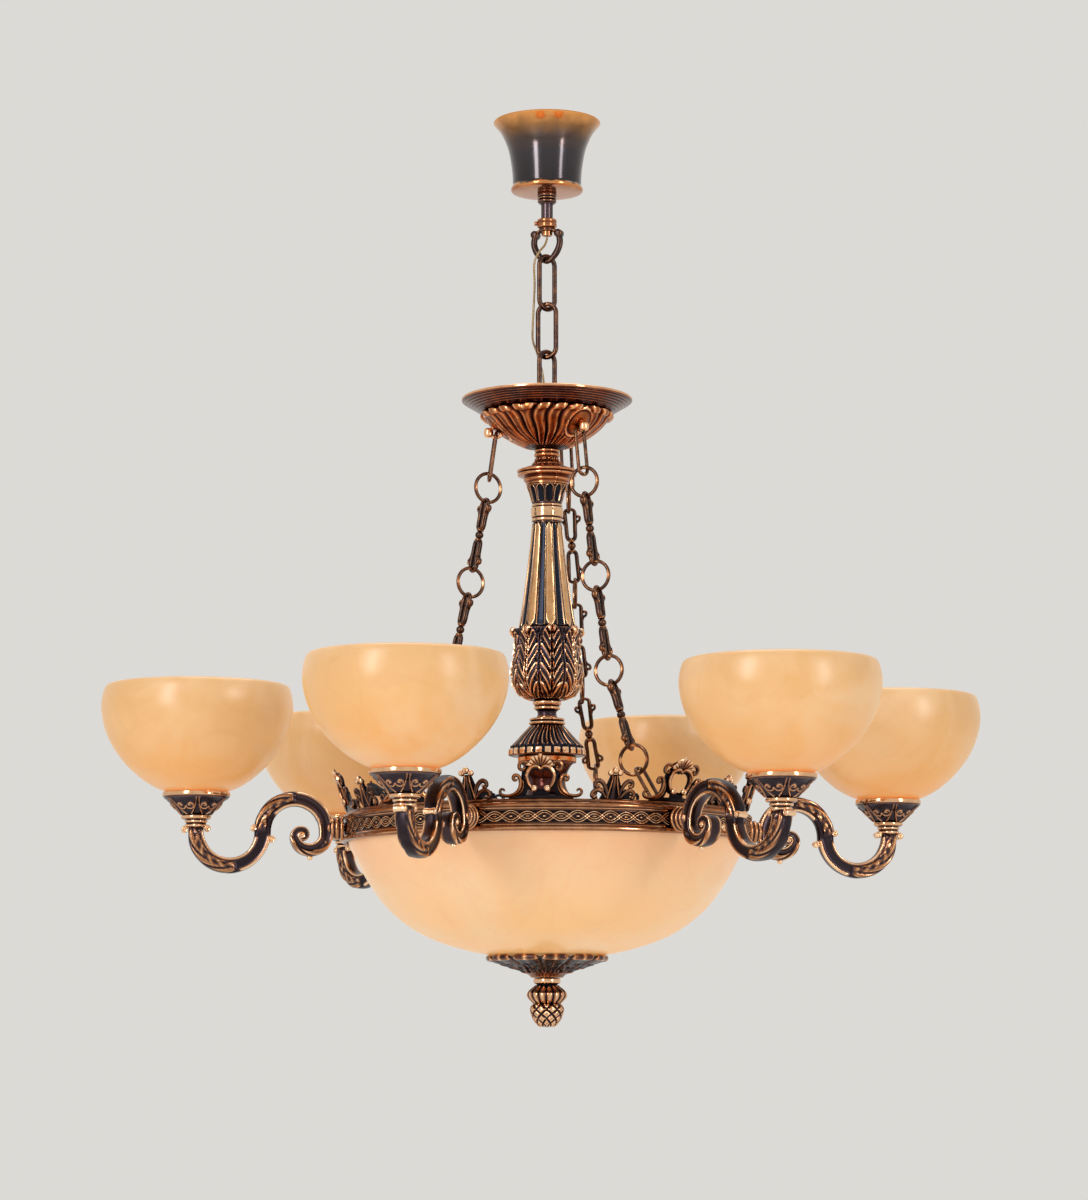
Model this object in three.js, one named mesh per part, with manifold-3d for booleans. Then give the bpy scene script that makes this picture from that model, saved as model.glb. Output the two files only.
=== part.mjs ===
// Alabaster chandelier: six arms round a gallery ring, with a large bowl below, hung on a short chain.
// Millimetres, +Z up. The origin is the middle of the ceiling face, and arm 1 points along +X.

import * as THREE from 'three';
import { mergeVertices } from 'three/addons/utils/BufferGeometryUtils.js';
import Module from 'manifold-3d';

const wasm = await Module();
wasm.setup();

// Clearances and the overrun of every cutting tool
const seat = 0.3;
const overrun = 2;
const cutTolerance = 0.04;

// Sizes of the whole light
const armCount = 6;
const armReach = 384;
const shadeRadius = 104.5;
const ringRadius = 222;
const bowlMargin = 4;
const bowlRadius = ringRadius - bowlMargin;

// Ceiling bracket and canopy
const bracketLength = 96;
const bracketWidth = 22;
const bracketThickness = 3;
const bracketBossRadius = 11;
const bracketBossDepth = 12;
const bracketHoleRadius = 2.6;
const bracketHoleSpread = 74;
const canopyRadius = 60.3;
const canopyHeight = 82;
const canopyWall = 2;
const canopyNutRadius = 10.9;
const canopyNutHeight = 12;

// Stem with its collar, and the nut that traps the hanging loop
const stemRadius = 6.65;
const stemBelowNut = 17.4;
const stemCollarRadius = 11;
const stemCollarHeight = 10;
const stemNeckRadius = 4.6;
const loopNutRadius = 6.2;
const loopNutHeight = 5;
const setScrewRadius = 2.4;
const setScrewHead = 3.4;
const wireHoleRadius = 2.4;
const wireHoleDrop = 20;

// Hanging loop and chain links
const wireDiameter = 5.5;
const linkLength = 66;
const linkWidth = 27;
const linkCount = 3;
const linkPlay = 0.5;
const planeTurn = 30;
const loopPlateRadius = 9;
const loopPlateThickness = 3.4;
const loopHalfWidth = 16.3;
const loopDrop = 36.3;
const loopStrapWidth = 8;
const loopBossRadius = 4.4;

// Flex beside the chain
const flexRadius = 1.25;

// Rod through the whole column, top dish and cast boss
const rodEyeRadius = 9.25;
const rodRadius = 5;
const dishRadius = 95.3;
const dishHeight = 25;
const dishWall = 2;
const dishFloorDepth = 16;
const dishWellRadius = 32;
const bossRadius = 71;
const bossHeight = 41;
const bossWall = 4;

// Turned and cast column pieces, top to bottom
const capitalRadius = 33.7;
const capitalHeight = 40;
const neckRadius = 22.7;
const neckHeight = 42.7;
const shaftRadius = 30.7;
const shaftHeight = 118;
const fluteCount = 10;
const fluteDepthShare = 0.12;
const vaseRadius = 39.3;
const vaseHeight = 98.6;
const coverRadius = 42;
const coverHeight = 42;
const spoolRadius = 40;
const spoolHeight = 54.6;

// Spider that carries the gallery ring
const spiderHubRadius = 34;
const spiderHubHeight = 17.5;
const spiderBarWidth = 14;
const spiderBarThickness = 6;
const spiderPadWidth = 20;
const spiderPadHeight = 20;
const spiderPadThickness = 5;

// Gallery ring and its crests
const ringThickness = 14;
const ringInnerRadius = ringRadius - ringThickness;
const ringHeight = 29.5;
const ringBulge = 3;
const ringBeadShare = 0.19;
const ringLipHeight = 7.5;
const ringLipThickness = 2.4;
const crestPairs = 9;
const crestLean = 18;
const crestThickness = 4;
const crestRailInset = 7.5;
const crestRailRadius = ringRadius - crestRailInset;
const crestRailHeight = 4;
const crestRailThickness = 4.5;
const tallCrestHeight = 47;
const tallCrestHalfWidth = 36;
const lowCrestHeight = 31;
const lowCrestHalfWidth = 26;
const crestOpeningRadius = 8;
const crestOpeningShare = 0.55;

// S-scroll arms
const armBossRadius = 14;
const armBossLength = 21;
const armBossTaperShare = 0.7;
const armBoltRadius = 4;
const armBoltOverhang = 10;
const armBoltReach = ringInnerRadius - armBoltOverhang;
const armBand = 16.5;
const armBandWidth = 14;
const armNeck = 12.7;
const armCollarRadius = 12.5;
const armCollarHeight = 6;
const armBoreDepth = 8;
const armStart = ringRadius + armBossLength;
const armSpan = armReach - armStart;
const lowBendShare = 12 / 47;
const lowBendRadius = armSpan * lowBendShare;
const lowBendDrop = 5.3;
const archRadius = armSpan / 2 - lowBendRadius;
const archDrop = 3.3;
const voluteShare = 35 / 69;
const voluteRadius = archRadius * voluteShare;
const voluteEnd = 345;
const voluteDrop = 3;
const voluteEyeRadius = 7.5;
const voluteEyeWidth = 17;
const voluteBeadRadius = 3.5;
const voluteBeadShare = 0.45;

// Shade cups, shades, lampholders and lamps
const cupRadius = 36.6;
const cupHeight = 30;
const cupRecess = 3;
const cupRimThickness = 3.6;
const shadeHeight = 118.7;
const shadeWall = 8;
const shadeFootHeight = 3.2;
const shadeHoleRadius = 8;
const shadeFloorRadius = 24;
const nippleRadius = 4.7;
const holderRadius = 12.5;
const holderHeight = 29.4;
const holderFlangeRadius = 19;
const holderFlangeHeight = 3;
const lampCapRadius = 6.7;
const lampCapHeight = 18;
const lampRadius = 22.5;
const lampHeight = 78;

// Bowl, its lamps, rosette and finial
const bowlDepth = 133;
const bowlWall = 10;
const bowlHoleRadius = 8;
const clusterRadius = 16;
const clusterHeight = 42;
const clusterLampDrop = 30;
const clusterLampCount = 2;
const clusterTurn = 30;
const rosetteRadius = 66.5;
const rosetteHeight = 20;
const finialRadius = 21;
const finialHeight = 53.5;
const finialBoreDepth = 10;

// Side chains, which hang in a curve from the boss to eyes on the spider
const sideChainCount = 3;
const hookReach = 58;
const hookDrop = 29;
const eyeRadius = 6;
const sideWire = 4;
const sidePlay = 0.7;
const sideRingRadius = 16.1;
const eyeInset = 23.7;
const eyeRise = 10.4;
const ovalWidth = 12;
const fuseShare = 0.9;
const lyreWidth = 11;
const lyreBeadRadius = 4.6;
const sideChainShares = [[0, 0], [0.063, 0.139], [0.216, 0.397], [0.394, 0.654], [0.723, 0.897], [1, 1]];

// Facets round each kind of piece
const bowlFacets = 28;
const ringFacets = 36;
const dishFacets = 24;
const canopyFacets = 20;
const shadeFacets = 14;
const columnFacets = 14;
const smallFacets = 12;
const lampFacets = 8;
const linkSides = 6;
const linkBends = 6;
const chainSides = 4;
const sideBends = 2;
const armBends = 5;
const flexSides = 8;
const openingSides = 6;
const loopBossSides = 4;

// Heights, worked down from the ceiling face
const bracketBottom = -bracketThickness;
const stemTop = bracketBottom - seat;
const canopyTop = -seat;
const canopyBottom = canopyTop - canopyHeight;
const canopyNutTop = canopyBottom - seat;
const canopyNutBottom = canopyNutTop - canopyNutHeight;
const collarTop = canopyNutBottom - stemBelowNut;
const collarBottom = collarTop - stemCollarHeight;
const loopPlateTop = collarBottom - seat;
const loopPlateBottom = loopPlateTop - loopPlateThickness;
const loopNutTop = loopPlateBottom - seat;
const loopNutBottom = loopNutTop - loopNutHeight;
const loopMiddle = (loopPlateTop + loopPlateBottom) / 2;
const loopSeat = loopMiddle - loopDrop;
const linkReach = linkLength - wireDiameter;
const wireStep = wireDiameter + linkPlay;
const linkPitch = linkReach - wireStep;
const firstLinkTop = loopSeat + wireStep;
const lastLinkSeat = firstLinkTop - linkReach - (linkCount - 1) * linkPitch;
const rodEyeTop = lastLinkSeat + wireStep;
const rodEyeBottom = rodEyeTop - 2 * rodEyeRadius;
const dishWellTop = rodEyeBottom - wireDiameter / 2 - seat;
const dishBottom = dishWellTop - dishWall;
const dishTop = dishBottom + dishHeight;
const bossTop = dishTop - dishFloorDepth - seat;
const bossBottom = bossTop - bossHeight;
const capitalTop = bossBottom - seat;
const neckTop = capitalTop - capitalHeight - seat;
const shaftTop = neckTop - neckHeight - seat;
const vaseTop = shaftTop - shaftHeight - seat;
const coverTop = vaseTop - vaseHeight - seat;
const spoolTop = coverTop - coverHeight - seat;
const spiderTop = spoolTop - spoolHeight - seat;
const spiderBottom = spiderTop - spiderHubHeight;
const ringTop = spiderBottom + spiderBarThickness;
const ringBottom = ringTop - ringHeight;
const ringMiddle = (ringTop + ringBottom) / 2;
const bowlTop = ringBottom + ringLipHeight - seat;
const bowlBottom = bowlTop - bowlDepth;
const rosetteTop = bowlBottom - seat;
const rosetteBottom = rosetteTop - rosetteHeight;
const finialTop = rosetteBottom - seat;
const rodBottom = finialTop - finialBoreDepth + seat;
const clusterTop = spiderBottom - seat;

// Heights along an arm, worked up from its low bend to the lamp
const lowBendMiddle = ringMiddle - lowBendDrop;
const archMiddle = ringMiddle - archDrop;
const armTop = lowBendMiddle + armNeck;
const cupBottom = armTop + seat;
const cupTop = cupBottom + cupHeight;
const shadeBottom = cupTop - cupRecess + seat;
const shadeTop = shadeBottom + shadeHeight;
const holderBottom = shadeBottom + shadeWall + seat;
const holderTop = holderBottom + holderHeight;

// Bores that follow what passes through them
const rodBore = rodRadius + seat;
const stemFit = stemRadius + seat;
const nippleBore = nippleRadius + seat;
const boltBore = armBoltRadius + seat;
const lampBore = lampCapRadius + seat;
const flexBore = flexRadius + seat;
const ringInnerFlat = ringInnerRadius * Math.cos(Math.PI / ringFacets);
const ringOuterRadius = ringRadius + ringBulge;
const ringOuterFlat = ringOuterRadius * Math.cos(Math.PI / ringFacets);

// Outlines as shares of a piece's radius and height, from its top
const canopyShares = [
  [1, 0], [0.86, 0.14], [0.71, 0.41], [0.642, 0.75], [0.638, 0.9], [0.668, 0.95], [0.64, 1],
];
const canopyNutShares = [[1, 0], [1, 0.4], [0.84, 0.5], [1, 0.6], [0.78, 1]];
const dishShares = [[1, 0], [1, 0.12], [0.955, 0.22], [0.84, 0.43], [0.763, 0.64]];
const dishTopShares = [[0.74, 0.56], [0.85, 0.25], [0.975, 0]];
const bossShares = [[1, 0], [0.97, 0.13], [0.86, 0.36], [0.6, 0.7], [0.38, 0.9], [0.234, 1]];
const capitalShares = [
  [0.415, 0], [0.415, 0.2], [0.36, 0.27], [0.8, 0.6], [1, 0.64], [1, 0.76], [0.7, 0.86], [0.7, 1],
];
const neckShares = [[1, 0], [0.86, 0.2], [0.72, 0.53], [0.79, 0.6], [0.79, 0.88], [0.72, 1]];
const shaftShares = [[0.505, 0], [0.72, 0.5], [1, 1]];
const vaseShares = [
  [0.98, 0], [0.88, 0.22], [1, 0.48], [0.86, 0.65], [0.4, 0.8], [0.4, 0.9], [0.27, 0.93], [0.27, 1],
];
const coverShares = [[0.475, 0], [0.475, 0.17], [0.39, 0.21], [0.72, 0.58], [1, 0.86], [0.98, 1]];
const spoolShares = [[0.805, 0], [0.805, 0.12], [0.56, 0.35], [0.5, 0.5], [0.56, 0.68], [1, 0.93], [1, 1]];
const cupShares = [[1, 0], [1, 0.15], [0.68, 0.53], [0.42, 0.82], [0.38, 1]];
const shadeShares = [[0.94, 0], [1, 0.17], [0.925, 0.46], [0.8, 0.662], [0.6, 0.845], [0.37, 0.97]];
const bowlShares = [
  [1, 0], [1, 0.07], [0.951, 0.216], [0.875, 0.435], [0.755, 0.66], [0.544, 0.866], [0.3, 0.964], [0.14, 1],
];
const rosetteShares = [[0.5, 0], [0.88, -0.14], [1, -0.14], [1, 0.05], [0.6, 0.45], [0.24, 1]];
const finialShares = [
  [0.7, 0], [0.7, 0.12], [0.5, 0.16], [1, 0.34], [0.62, 0.54], [0.8, 0.64], [0.72, 0.78], [0.4, 0.94], [0, 1],
];
const lampShares = [[0, 0], [0.7, 0.06], [1, 0.27], [0.75, 0.5], [0.4, 0.7]];
const loopShares = [[0.4, 0], [0.8, 0.1], [1, 0.38], [0.8, 0.68], [0.33, 0.94], [0, 1]];
const tallCrestShares = [[1, 0.12], [0.54, 0.4], [0.62, 0.78], [0, 1]];
const lowCrestShares = [[1, 0.16], [0.5, 0.36], [0.4, 0.88], [0, 1]];
const crestFootShares = [-1, 0, 1];
const armBandShares = [[0, 0.9], [0.08, 1.15], [0.3, 1], [0.42, 1.2], [0.55, 1], [0.78, 0.9], [1, 0.55]];
const voluteEyeShares = [0.54, -0.4];

// Flex route beside the chain, from the stem to the dish floor
const flexRoute = [
  [0, 0, -127], [0, 0, -131.4], [-0.5, 0, -136], [-3.5, -3, -143], [-10.5, -8.5, -152], [-15.5, -8, -165],
  [-14.4, -2, -190], [-15.7, 3.3, -235], [-14.6, 8.4, -250], [-9.5, 11, -263], [-3, 10, -290],
  [-1, 10, -325], [-1, 10, -346],
];
const flexSteps = 30;

// Unit conversions and turns
const fullTurn = 2 * Math.PI;
const quarterTurn = Math.PI / 2;
const toRadians = THREE.MathUtils.degToRad;

// Turns a closed geometry into a solid with its faces outward
function solidOf(geometry) {
  const bare = new THREE.BufferGeometry();
  bare.setAttribute('position', geometry.getAttribute('position'));
  bare.setIndex(geometry.getIndex());
  const merged = mergeVertices(bare);
  const places = merged.getAttribute('position').array;
  const index = merged.getIndex().array;
  const corners = [];
  for (let i = 0; i < index.length; i += 3) {
    const [a, b, c] = index.subarray(i, i + 3);
    if (a !== b && b !== c && c !== a) corners.push([a, b, c]);
  }
  const turned = signedVolume(places, corners) < 0;
  const triVerts = new Uint32Array(corners.flatMap(([a, b, c]) => (turned ? [a, c, b] : [a, b, c])));
  return new wasm.Manifold(new wasm.Mesh({ numProp: 3, vertProperties: places, triVerts }));
}

// Six times the volume that the triangles enclose, negative when they face inward
function signedVolume(places, corners) {
  const at = (i) => new THREE.Vector3().fromArray(places, 3 * i);
  return corners.reduce((sum, [a, b, c]) => sum + at(a).dot(at(b).cross(at(c))), 0);
}

// Gives a solid back as a geometry
function geometryOf(solid) {
  const mesh = solid.asOriginal().simplify(cutTolerance).getMesh();
  const geometry = new THREE.BufferGeometry();
  geometry.setAttribute('position', new THREE.BufferAttribute(mesh.vertProperties, mesh.numProp));
  geometry.setIndex(new THREE.BufferAttribute(mesh.triVerts, 1));
  return geometry;
}

// Joins closed geometries into one body
function join(...shapes) {
  return geometryOf(shapes.map(solidOf).reduce((whole, next) => whole.add(next)));
}

// Cuts tools out of a body
function cut(body, ...tools) {
  return geometryOf(tools.map(solidOf).reduce((left, tool) => left.subtract(tool), solidOf(body)));
}

// Gives radius and height pairs from shares of a size, downward from a top height
function scaled(shares, radius, top, height) {
  return shares.map(([outShare, downShare]) => [outShare * radius, top - downShare * height]);
}

// Spins a profile that closes on itself about the Z axis
function spun(profile, facets) {
  const points = [...profile, profile[0]].map(([radius, height]) => new THREE.Vector2(radius, height));
  return new THREE.LatheGeometry(points, facets).rotateX(quarterTurn);
}

// Spins a solid with a straight bore from an outline that runs from top to bottom
function turned(outline, bore, facets) {
  return spun([[bore, outline[0][1]], ...outline, [bore, outline.at(-1)[1]]], facets);
}

// A cylinder about the Z axis between two heights
function rodBetween(radius, bottom, top, facets = smallFacets) {
  const rod = new THREE.CylinderGeometry(radius, radius, top - bottom, facets);
  return rod.rotateX(quarterTurn).translate(0, 0, (top + bottom) / 2);
}

// Moves an outline inward by a wall, for a shell that opens upward
function inset(outline, wall) {
  return outline.map(([radius, height], i) => {
    const before = outline[Math.max(i - 1, 0)];
    const after = outline[Math.min(i + 1, outline.length - 1)];
    const run = new THREE.Vector2(after[0] - before[0], after[1] - before[1]).normalize();
    return i === 0 ? [radius - wall, height] : [radius + run.y * wall, height - run.x * wall];
  });
}

// Presses round lobes into the side of a turned piece, deepest between two lobes
function lobed(geometry, bore, count, depthShare) {
  const places = geometry.getAttribute('position');
  for (let i = 0; i < places.count; i++) {
    const radius = Math.hypot(places.getX(i), places.getY(i));
    if (radius < bore + overrun) continue;
    const turn = Math.atan2(places.getY(i), places.getX(i));
    const grow = 1 - depthShare * (1 - Math.cos(count * turn)) / 2;
    places.setXY(i, places.getX(i) * grow, places.getY(i) * grow);
  }
  return geometry;
}

// Sweeps an oval section along a flat path in the XZ plane, from its thickness and width at each share
function swept(path, section, sides, closed) {
  const count = path.length;
  const places = [];
  path.forEach((point, i) => {
    const before = path[closed ? (i + count - 1) % count : Math.max(i - 1, 0)];
    const after = path[closed ? (i + 1) % count : Math.min(i + 1, count - 1)];
    const run = after.clone().sub(before).normalize();
    const [thickness, width] = section(i / (count - 1));
    for (let k = 0; k < sides; k++) {
      const turn = (k / sides) * fullTurn;
      const out = (Math.cos(turn) * thickness) / 2;
      places.push(point.x - run.y * out, (Math.sin(turn) * width) / 2, point.y + run.x * out);
    }
  });
  const index = [];
  for (let i = 0; i < (closed ? count : count - 1); i++) {
    for (let k = 0; k < sides; k++) {
      const next = (k + 1) % sides;
      const here = i * sides;
      const there = ((i + 1) % count) * sides;
      index.push(here + k, here + next, there + next, here + k, there + next, there + k);
    }
  }
  const last = (count - 1) * sides;
  for (let k = 1; !closed && k < sides - 1; k++) {
    index.push(0, k + 1, k, last, last + k, last + k + 1);
  }
  const geometry = new THREE.BufferGeometry();
  geometry.setAttribute('position', new THREE.Float32BufferAttribute(places, 3));
  geometry.setIndex(index);
  return geometry;
}

// Points of an arc in the XZ plane, its angles in degrees
function arc(centreX, centreZ, radius, from, to, steps) {
  return Array.from({ length: steps + 1 }, (_, i) => {
    const turn = toRadians(from + ((to - from) * i) / steps);
    return new THREE.Vector2(centreX + radius * Math.cos(turn), centreZ + radius * Math.sin(turn));
  });
}

// An oval wire link that hangs from the origin, given by its centreline
function wireLink(length, width, wire, bends, sides) {
  const radius = width / 2;
  const path = [
    ...arc(0, -radius, radius, 0, 180, bends),
    ...arc(0, radius - length, radius, 180, 360, bends),
  ];
  return swept(path, () => [wire, wire], sides, true);
}

// A round wire ring about the origin, in the XZ plane
function wireRing(radius, wire, steps, sides) {
  return swept(arc(0, 0, radius, 0, 360, steps).slice(1), () => [wire, wire], sides, true);
}

// Copies of a geometry turned about the Z axis
function turnedTo(geometry, degrees) {
  return geometry.clone().rotateZ(toRadians(degrees));
}

// Ceiling bracket: a strap with a threaded boss, screwed to the ceiling
function ceilingBracket() {
  const strap = new THREE.BoxGeometry(bracketLength, bracketWidth, bracketThickness);
  strap.translate(0, 0, bracketBottom / 2);
  const bossFoot = bracketBottom - bracketBossDepth;
  const boss = rodBetween(bracketBossRadius, bossFoot, bracketBottom / 2);
  const thread = rodBetween(stemFit, bossFoot - overrun, bracketBottom);
  const hole = rodBetween(bracketHoleRadius, bracketBottom - overrun, overrun, lampFacets);
  const holes = [-1, 1].map((side) => hole.clone().translate((side * bracketHoleSpread) / 2, 0, 0));
  return cut(join(strap, boss), thread, ...holes);
}

// Stem: the tube, its collar with a set screw, and the neck and nut that carry the loop
function stem() {
  const tube = spun([
    [flexBore, stemTop], [stemRadius, stemTop], [stemRadius, collarTop], [stemCollarRadius, collarTop],
    [stemCollarRadius, collarBottom], [stemNeckRadius, collarBottom], [stemNeckRadius, loopNutTop],
    [loopNutRadius, loopNutTop], [loopNutRadius, loopNutBottom], [flexBore, loopNutBottom],
  ], smallFacets);
  const screw = rodBetween(setScrewRadius, stemRadius, stemCollarRadius + setScrewHead, lampFacets);
  screw.rotateY(-quarterTurn).translate(0, 0, (collarTop + collarBottom) / 2);
  const wireHole = rodBetween(wireHoleRadius, 0, stemRadius + overrun, lampFacets);
  wireHole.rotateY(quarterTurn).translate(0, 0, stemTop - wireHoleDrop);
  return cut(join(tube, screw), wireHole);
}

// Canopy: a spun bell that hides the bracket and slides down the stem
function canopy() {
  const outline = scaled(canopyShares, canopyRadius, canopyTop, canopyHeight);
  const floor = [[stemFit, canopyBottom], [stemFit, canopyBottom + canopyWall]];
  const inner = inset(outline.slice(0, -2), canopyWall).filter((_, i) => i % 2 === 0);
  const corner = [inner.at(-1)[0], canopyBottom + canopyWall];
  return spun([...outline, ...floor, corner, ...inner.reverse()], canopyFacets);
}

// Canopy nut: a ridged ring that holds the canopy up
function canopyNut() {
  return turned(scaled(canopyNutShares, canopyNutRadius, canopyNutTop, canopyNutHeight), stemFit, smallFacets);
}

// Hanging loop: two curved straps that meet in a point, under a plate that the stem's neck passes through
function hangingLoop() {
  const side = scaled(loopShares, loopHalfWidth, loopMiddle, loopDrop);
  const right = side.map(([x, z]) => new THREE.Vector2(x, z));
  const left = side.slice(0, -1).reverse().map(([x, z]) => new THREE.Vector2(-x, z));
  const narrowing = (share) => {
    const up = Math.abs(1 - 2 * share);
    return [THREE.MathUtils.lerp(wireDiameter, loopPlateThickness, up),
      THREE.MathUtils.lerp(wireDiameter, loopStrapWidth, up)];
  };
  const straps = swept([...right, ...left], narrowing, linkSides, true);
  const plate = rodBetween(loopPlateRadius, loopPlateBottom, loopPlateTop);
  const bossX = loopHalfWidth * loopShares[1][0];
  const bossZ = loopMiddle - loopDrop * loopShares[1][1];
  const boss = new THREE.CylinderGeometry(loopBossRadius, loopBossRadius, loopStrapWidth + overrun, loopBossSides);
  const bosses = [-1, 1].map((way) => boss.clone().translate(way * bossX, 0, bossZ));
  const neckHole = rodBetween(stemNeckRadius + seat, loopPlateBottom - overrun, loopPlateTop + overrun);
  return cut(join(straps, plate, ...bosses), neckHole).rotateZ(toRadians(-planeTurn));
}

// Chain link: one of three oval wire links, each turned against the last
function chainLink(i) {
  const link = wireLink(linkReach, linkWidth - wireDiameter, wireDiameter, linkBends, linkSides);
  link.translate(0, 0, firstLinkTop - i * linkPitch);
  return turnedTo(link, i % 2 === 0 ? planeTurn : -planeTurn);
}

// Supply flex: a thin round lead from the stem into the dish
function supplyFlex() {
  const path = new THREE.CatmullRomCurve3(flexRoute.map(([x, y, z]) => new THREE.Vector3(x, y, z)));
  const section = new THREE.Shape(arc(0, 0, flexRadius, 0, 360, flexSides).slice(1));
  return new THREE.ExtrudeGeometry(section, { steps: flexSteps, extrudePath: path });
}

// Centre rod: the eye that hangs on the last link, and the threaded rod down to the finial
function centreRod() {
  const eye = wireRing(rodEyeRadius, wireDiameter, smallFacets, linkSides);
  eye.rotateZ(toRadians(-planeTurn)).translate(0, 0, rodEyeTop - rodEyeRadius);
  return join(eye, rodBetween(rodRadius, rodBottom, rodEyeBottom));
}

// Top dish: a spun dish with a well for the rod's eye and a hole for the flex
function topDish() {
  const under = scaled(dishShares, dishRadius, dishTop, dishHeight);
  const floorUnder = dishTop - dishFloorDepth;
  const well = [
    [dishWellRadius, floorUnder], [dishWellRadius, dishBottom], [rodBore, dishBottom],
    [rodBore, dishWellTop], [dishWellRadius - dishWall, dishWellTop],
    [dishWellRadius - dishWall, floorUnder + dishWall],
  ];
  const over = scaled(dishTopShares, dishRadius, dishTop, dishHeight);
  const [flexX, flexY] = flexRoute.at(-1);
  const flexHole = rodBetween(flexBore, dishBottom - overrun, dishWellTop + overrun, lampFacets);
  return cut(spun([...under, ...well, ...over], dishFacets), flexHole.translate(flexX, flexY, 0));
}

// Places along a side chain in its own plane, from the boss's eye to the spider's
function sideChainPlaces() {
  const hookHeight = bossTop - hookDrop;
  const down = hookHeight - (ringTop + eyeRise);
  const out = ringInnerRadius - eyeInset - hookReach;
  return sideChainShares.map(([outShare, downShare]) => (
    new THREE.Vector2(hookReach + outShare * out, hookHeight - downShare * down)
  ));
}

// Lean and length of each stretch of a side chain
function sideChainStretches() {
  const places = sideChainPlaces();
  return places.slice(1).map((place, i) => {
    const run = place.clone().sub(places[i]);
    return { lean: Math.atan2(run.x, -run.y), pitch: run.length() };
  });
}

// A wire eye whose bar lies at a place, with its opening away from the chain
function chainEye(place, lean, way) {
  const eye = wireRing(eyeRadius, sideWire, lampFacets, chainSides);
  const out = new THREE.Vector2(Math.sin(lean), -Math.cos(lean)).multiplyScalar(way * eyeRadius);
  return eye.translate(place.x + out.x, 0, place.y + out.y);
}

// Dish boss: a cast basket under the dish, with three eyes for the side chains
function dishBoss() {
  const outline = scaled(bossShares, bossRadius, bossTop, bossHeight);
  const inner = inset(outline.slice(0, -1), bossWall).filter((_, i) => i % 2 === 0);
  const floor = [[rodBore, bossBottom], [rodBore, bossBottom + bossWall]];
  const basket = spun([...outline, ...floor, ...inner.reverse()], canopyFacets);
  const eye = chainEye(sideChainPlaces()[0], sideChainStretches()[0].lean, -1);
  const eyes = sideChainAngles().map((angle) => turnedTo(eye, angle));
  return join(basket, ...eyes);
}

// Angles of the side chains, which hang over every second arm
function sideChainAngles() {
  return Array.from({ length: sideChainCount }, (_, i) => 180 / sideChainCount + (i * 360) / sideChainCount);
}

// The wire of a lyre link, pinched in its middle, that hangs from the origin
function lyreLoop(length) {
  const radius = lyreWidth / 2;
  const pinch = sideWire / 2 + seat;
  const path = [
    ...arc(0, -radius, radius, 0, 180, sideBends), new THREE.Vector2(-pinch, -length / 2),
    ...arc(0, radius - length, radius, 180, 360, sideBends), new THREE.Vector2(pinch, -length / 2),
  ];
  return swept(path, () => [sideWire, sideWire], chainSides, true);
}

// Side chain: round rings between an oval link at each end and three lyre links
function sideChain() {
  const places = sideChainPlaces();
  const stretches = sideChainStretches();
  const hold = sideWire + sidePlay;
  const inRing = sideRingRadius - sideWire * fuseShare;
  const hang = (shape, i, along) => {
    const { lean } = stretches[i];
    const x = places[i].x + Math.sin(lean) * along;
    const z = places[i].y - Math.cos(lean) * along;
    return shape.rotateZ(quarterTurn).rotateY(-lean).translate(x, 0, z);
  };
  const oval = (i, along) => {
    const length = stretches[i].pitch - inRing + hold;
    return hang(wireLink(length, ovalWidth, sideWire, sideBends, chainSides), i, along);
  };
  const lyre = (i) => {
    const length = stretches[i].pitch - 2 * inRing;
    const bead = new THREE.OctahedronGeometry(lyreBeadRadius);
    return [hang(lyreLoop(length), i, inRing), hang(bead, i, inRing + length / 2)];
  };
  const ring = wireRing(sideRingRadius, sideWire, lampFacets, chainSides);
  const rings = places.slice(1, -1).map((place) => ring.clone().translate(place.x, 0, place.y));
  const last = stretches.length - 1;
  return join(...rings, oval(0, -hold), oval(last, inRing), ...[1, 2, 3].flatMap(lyre));
}

// Capital, neck, shaft, vase, cover and spool: cast pieces threaded on the rod
function capital() {
  return turned(scaled(capitalShares, capitalRadius, capitalTop, capitalHeight), rodBore, columnFacets);
}

function columnNeck() {
  return turned(scaled(neckShares, neckRadius, neckTop, neckHeight), rodBore, columnFacets);
}

function columnShaft() {
  const outline = scaled(shaftShares, shaftRadius, shaftTop, shaftHeight);
  return lobed(turned(outline, rodBore, 2 * fluteCount), rodBore, fluteCount, fluteDepthShare);
}

function columnVase() {
  return turned(scaled(vaseShares, vaseRadius, vaseTop, vaseHeight), rodBore, columnFacets);
}

function gadroonCover() {
  return turned(scaled(coverShares, coverRadius, coverTop, coverHeight), rodBore, columnFacets);
}

function hubSpool() {
  return turned(scaled(spoolShares, spoolRadius, spoolTop, spoolHeight), rodBore, columnFacets);
}

// Spider: a hub on the rod, six bars to the ring, and eyes for the side chains
function spider() {
  const hub = turned([[spiderHubRadius, spiderTop], [spiderHubRadius, spiderBottom]], rodBore, columnFacets);
  const padFace = ringInnerFlat - seat;
  const barLength = padFace - spiderHubRadius / 2;
  const bar = new THREE.BoxGeometry(barLength, spiderBarWidth, spiderBarThickness);
  bar.translate(padFace - barLength / 2, 0, ringTop - spiderBarThickness / 2);
  const pad = new THREE.BoxGeometry(spiderPadThickness, spiderPadWidth, spiderPadHeight);
  pad.translate(padFace - spiderPadThickness / 2, 0, ringTop - spiderPadHeight / 2);
  const spoke = cut(join(bar, pad), boltHole());
  const spokes = armAngles().map((angle) => turnedTo(spoke, angle));
  const eye = chainEye(sideChainPlaces().at(-1), sideChainStretches().at(-1).lean, 1);
  const eyes = sideChainAngles().map((angle) => turnedTo(eye, angle));
  return join(hub, ...spokes, ...eyes);
}

// Angles of the arms
function armAngles() {
  return Array.from({ length: armCount }, (_, i) => (i * 360) / armCount);
}

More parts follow.
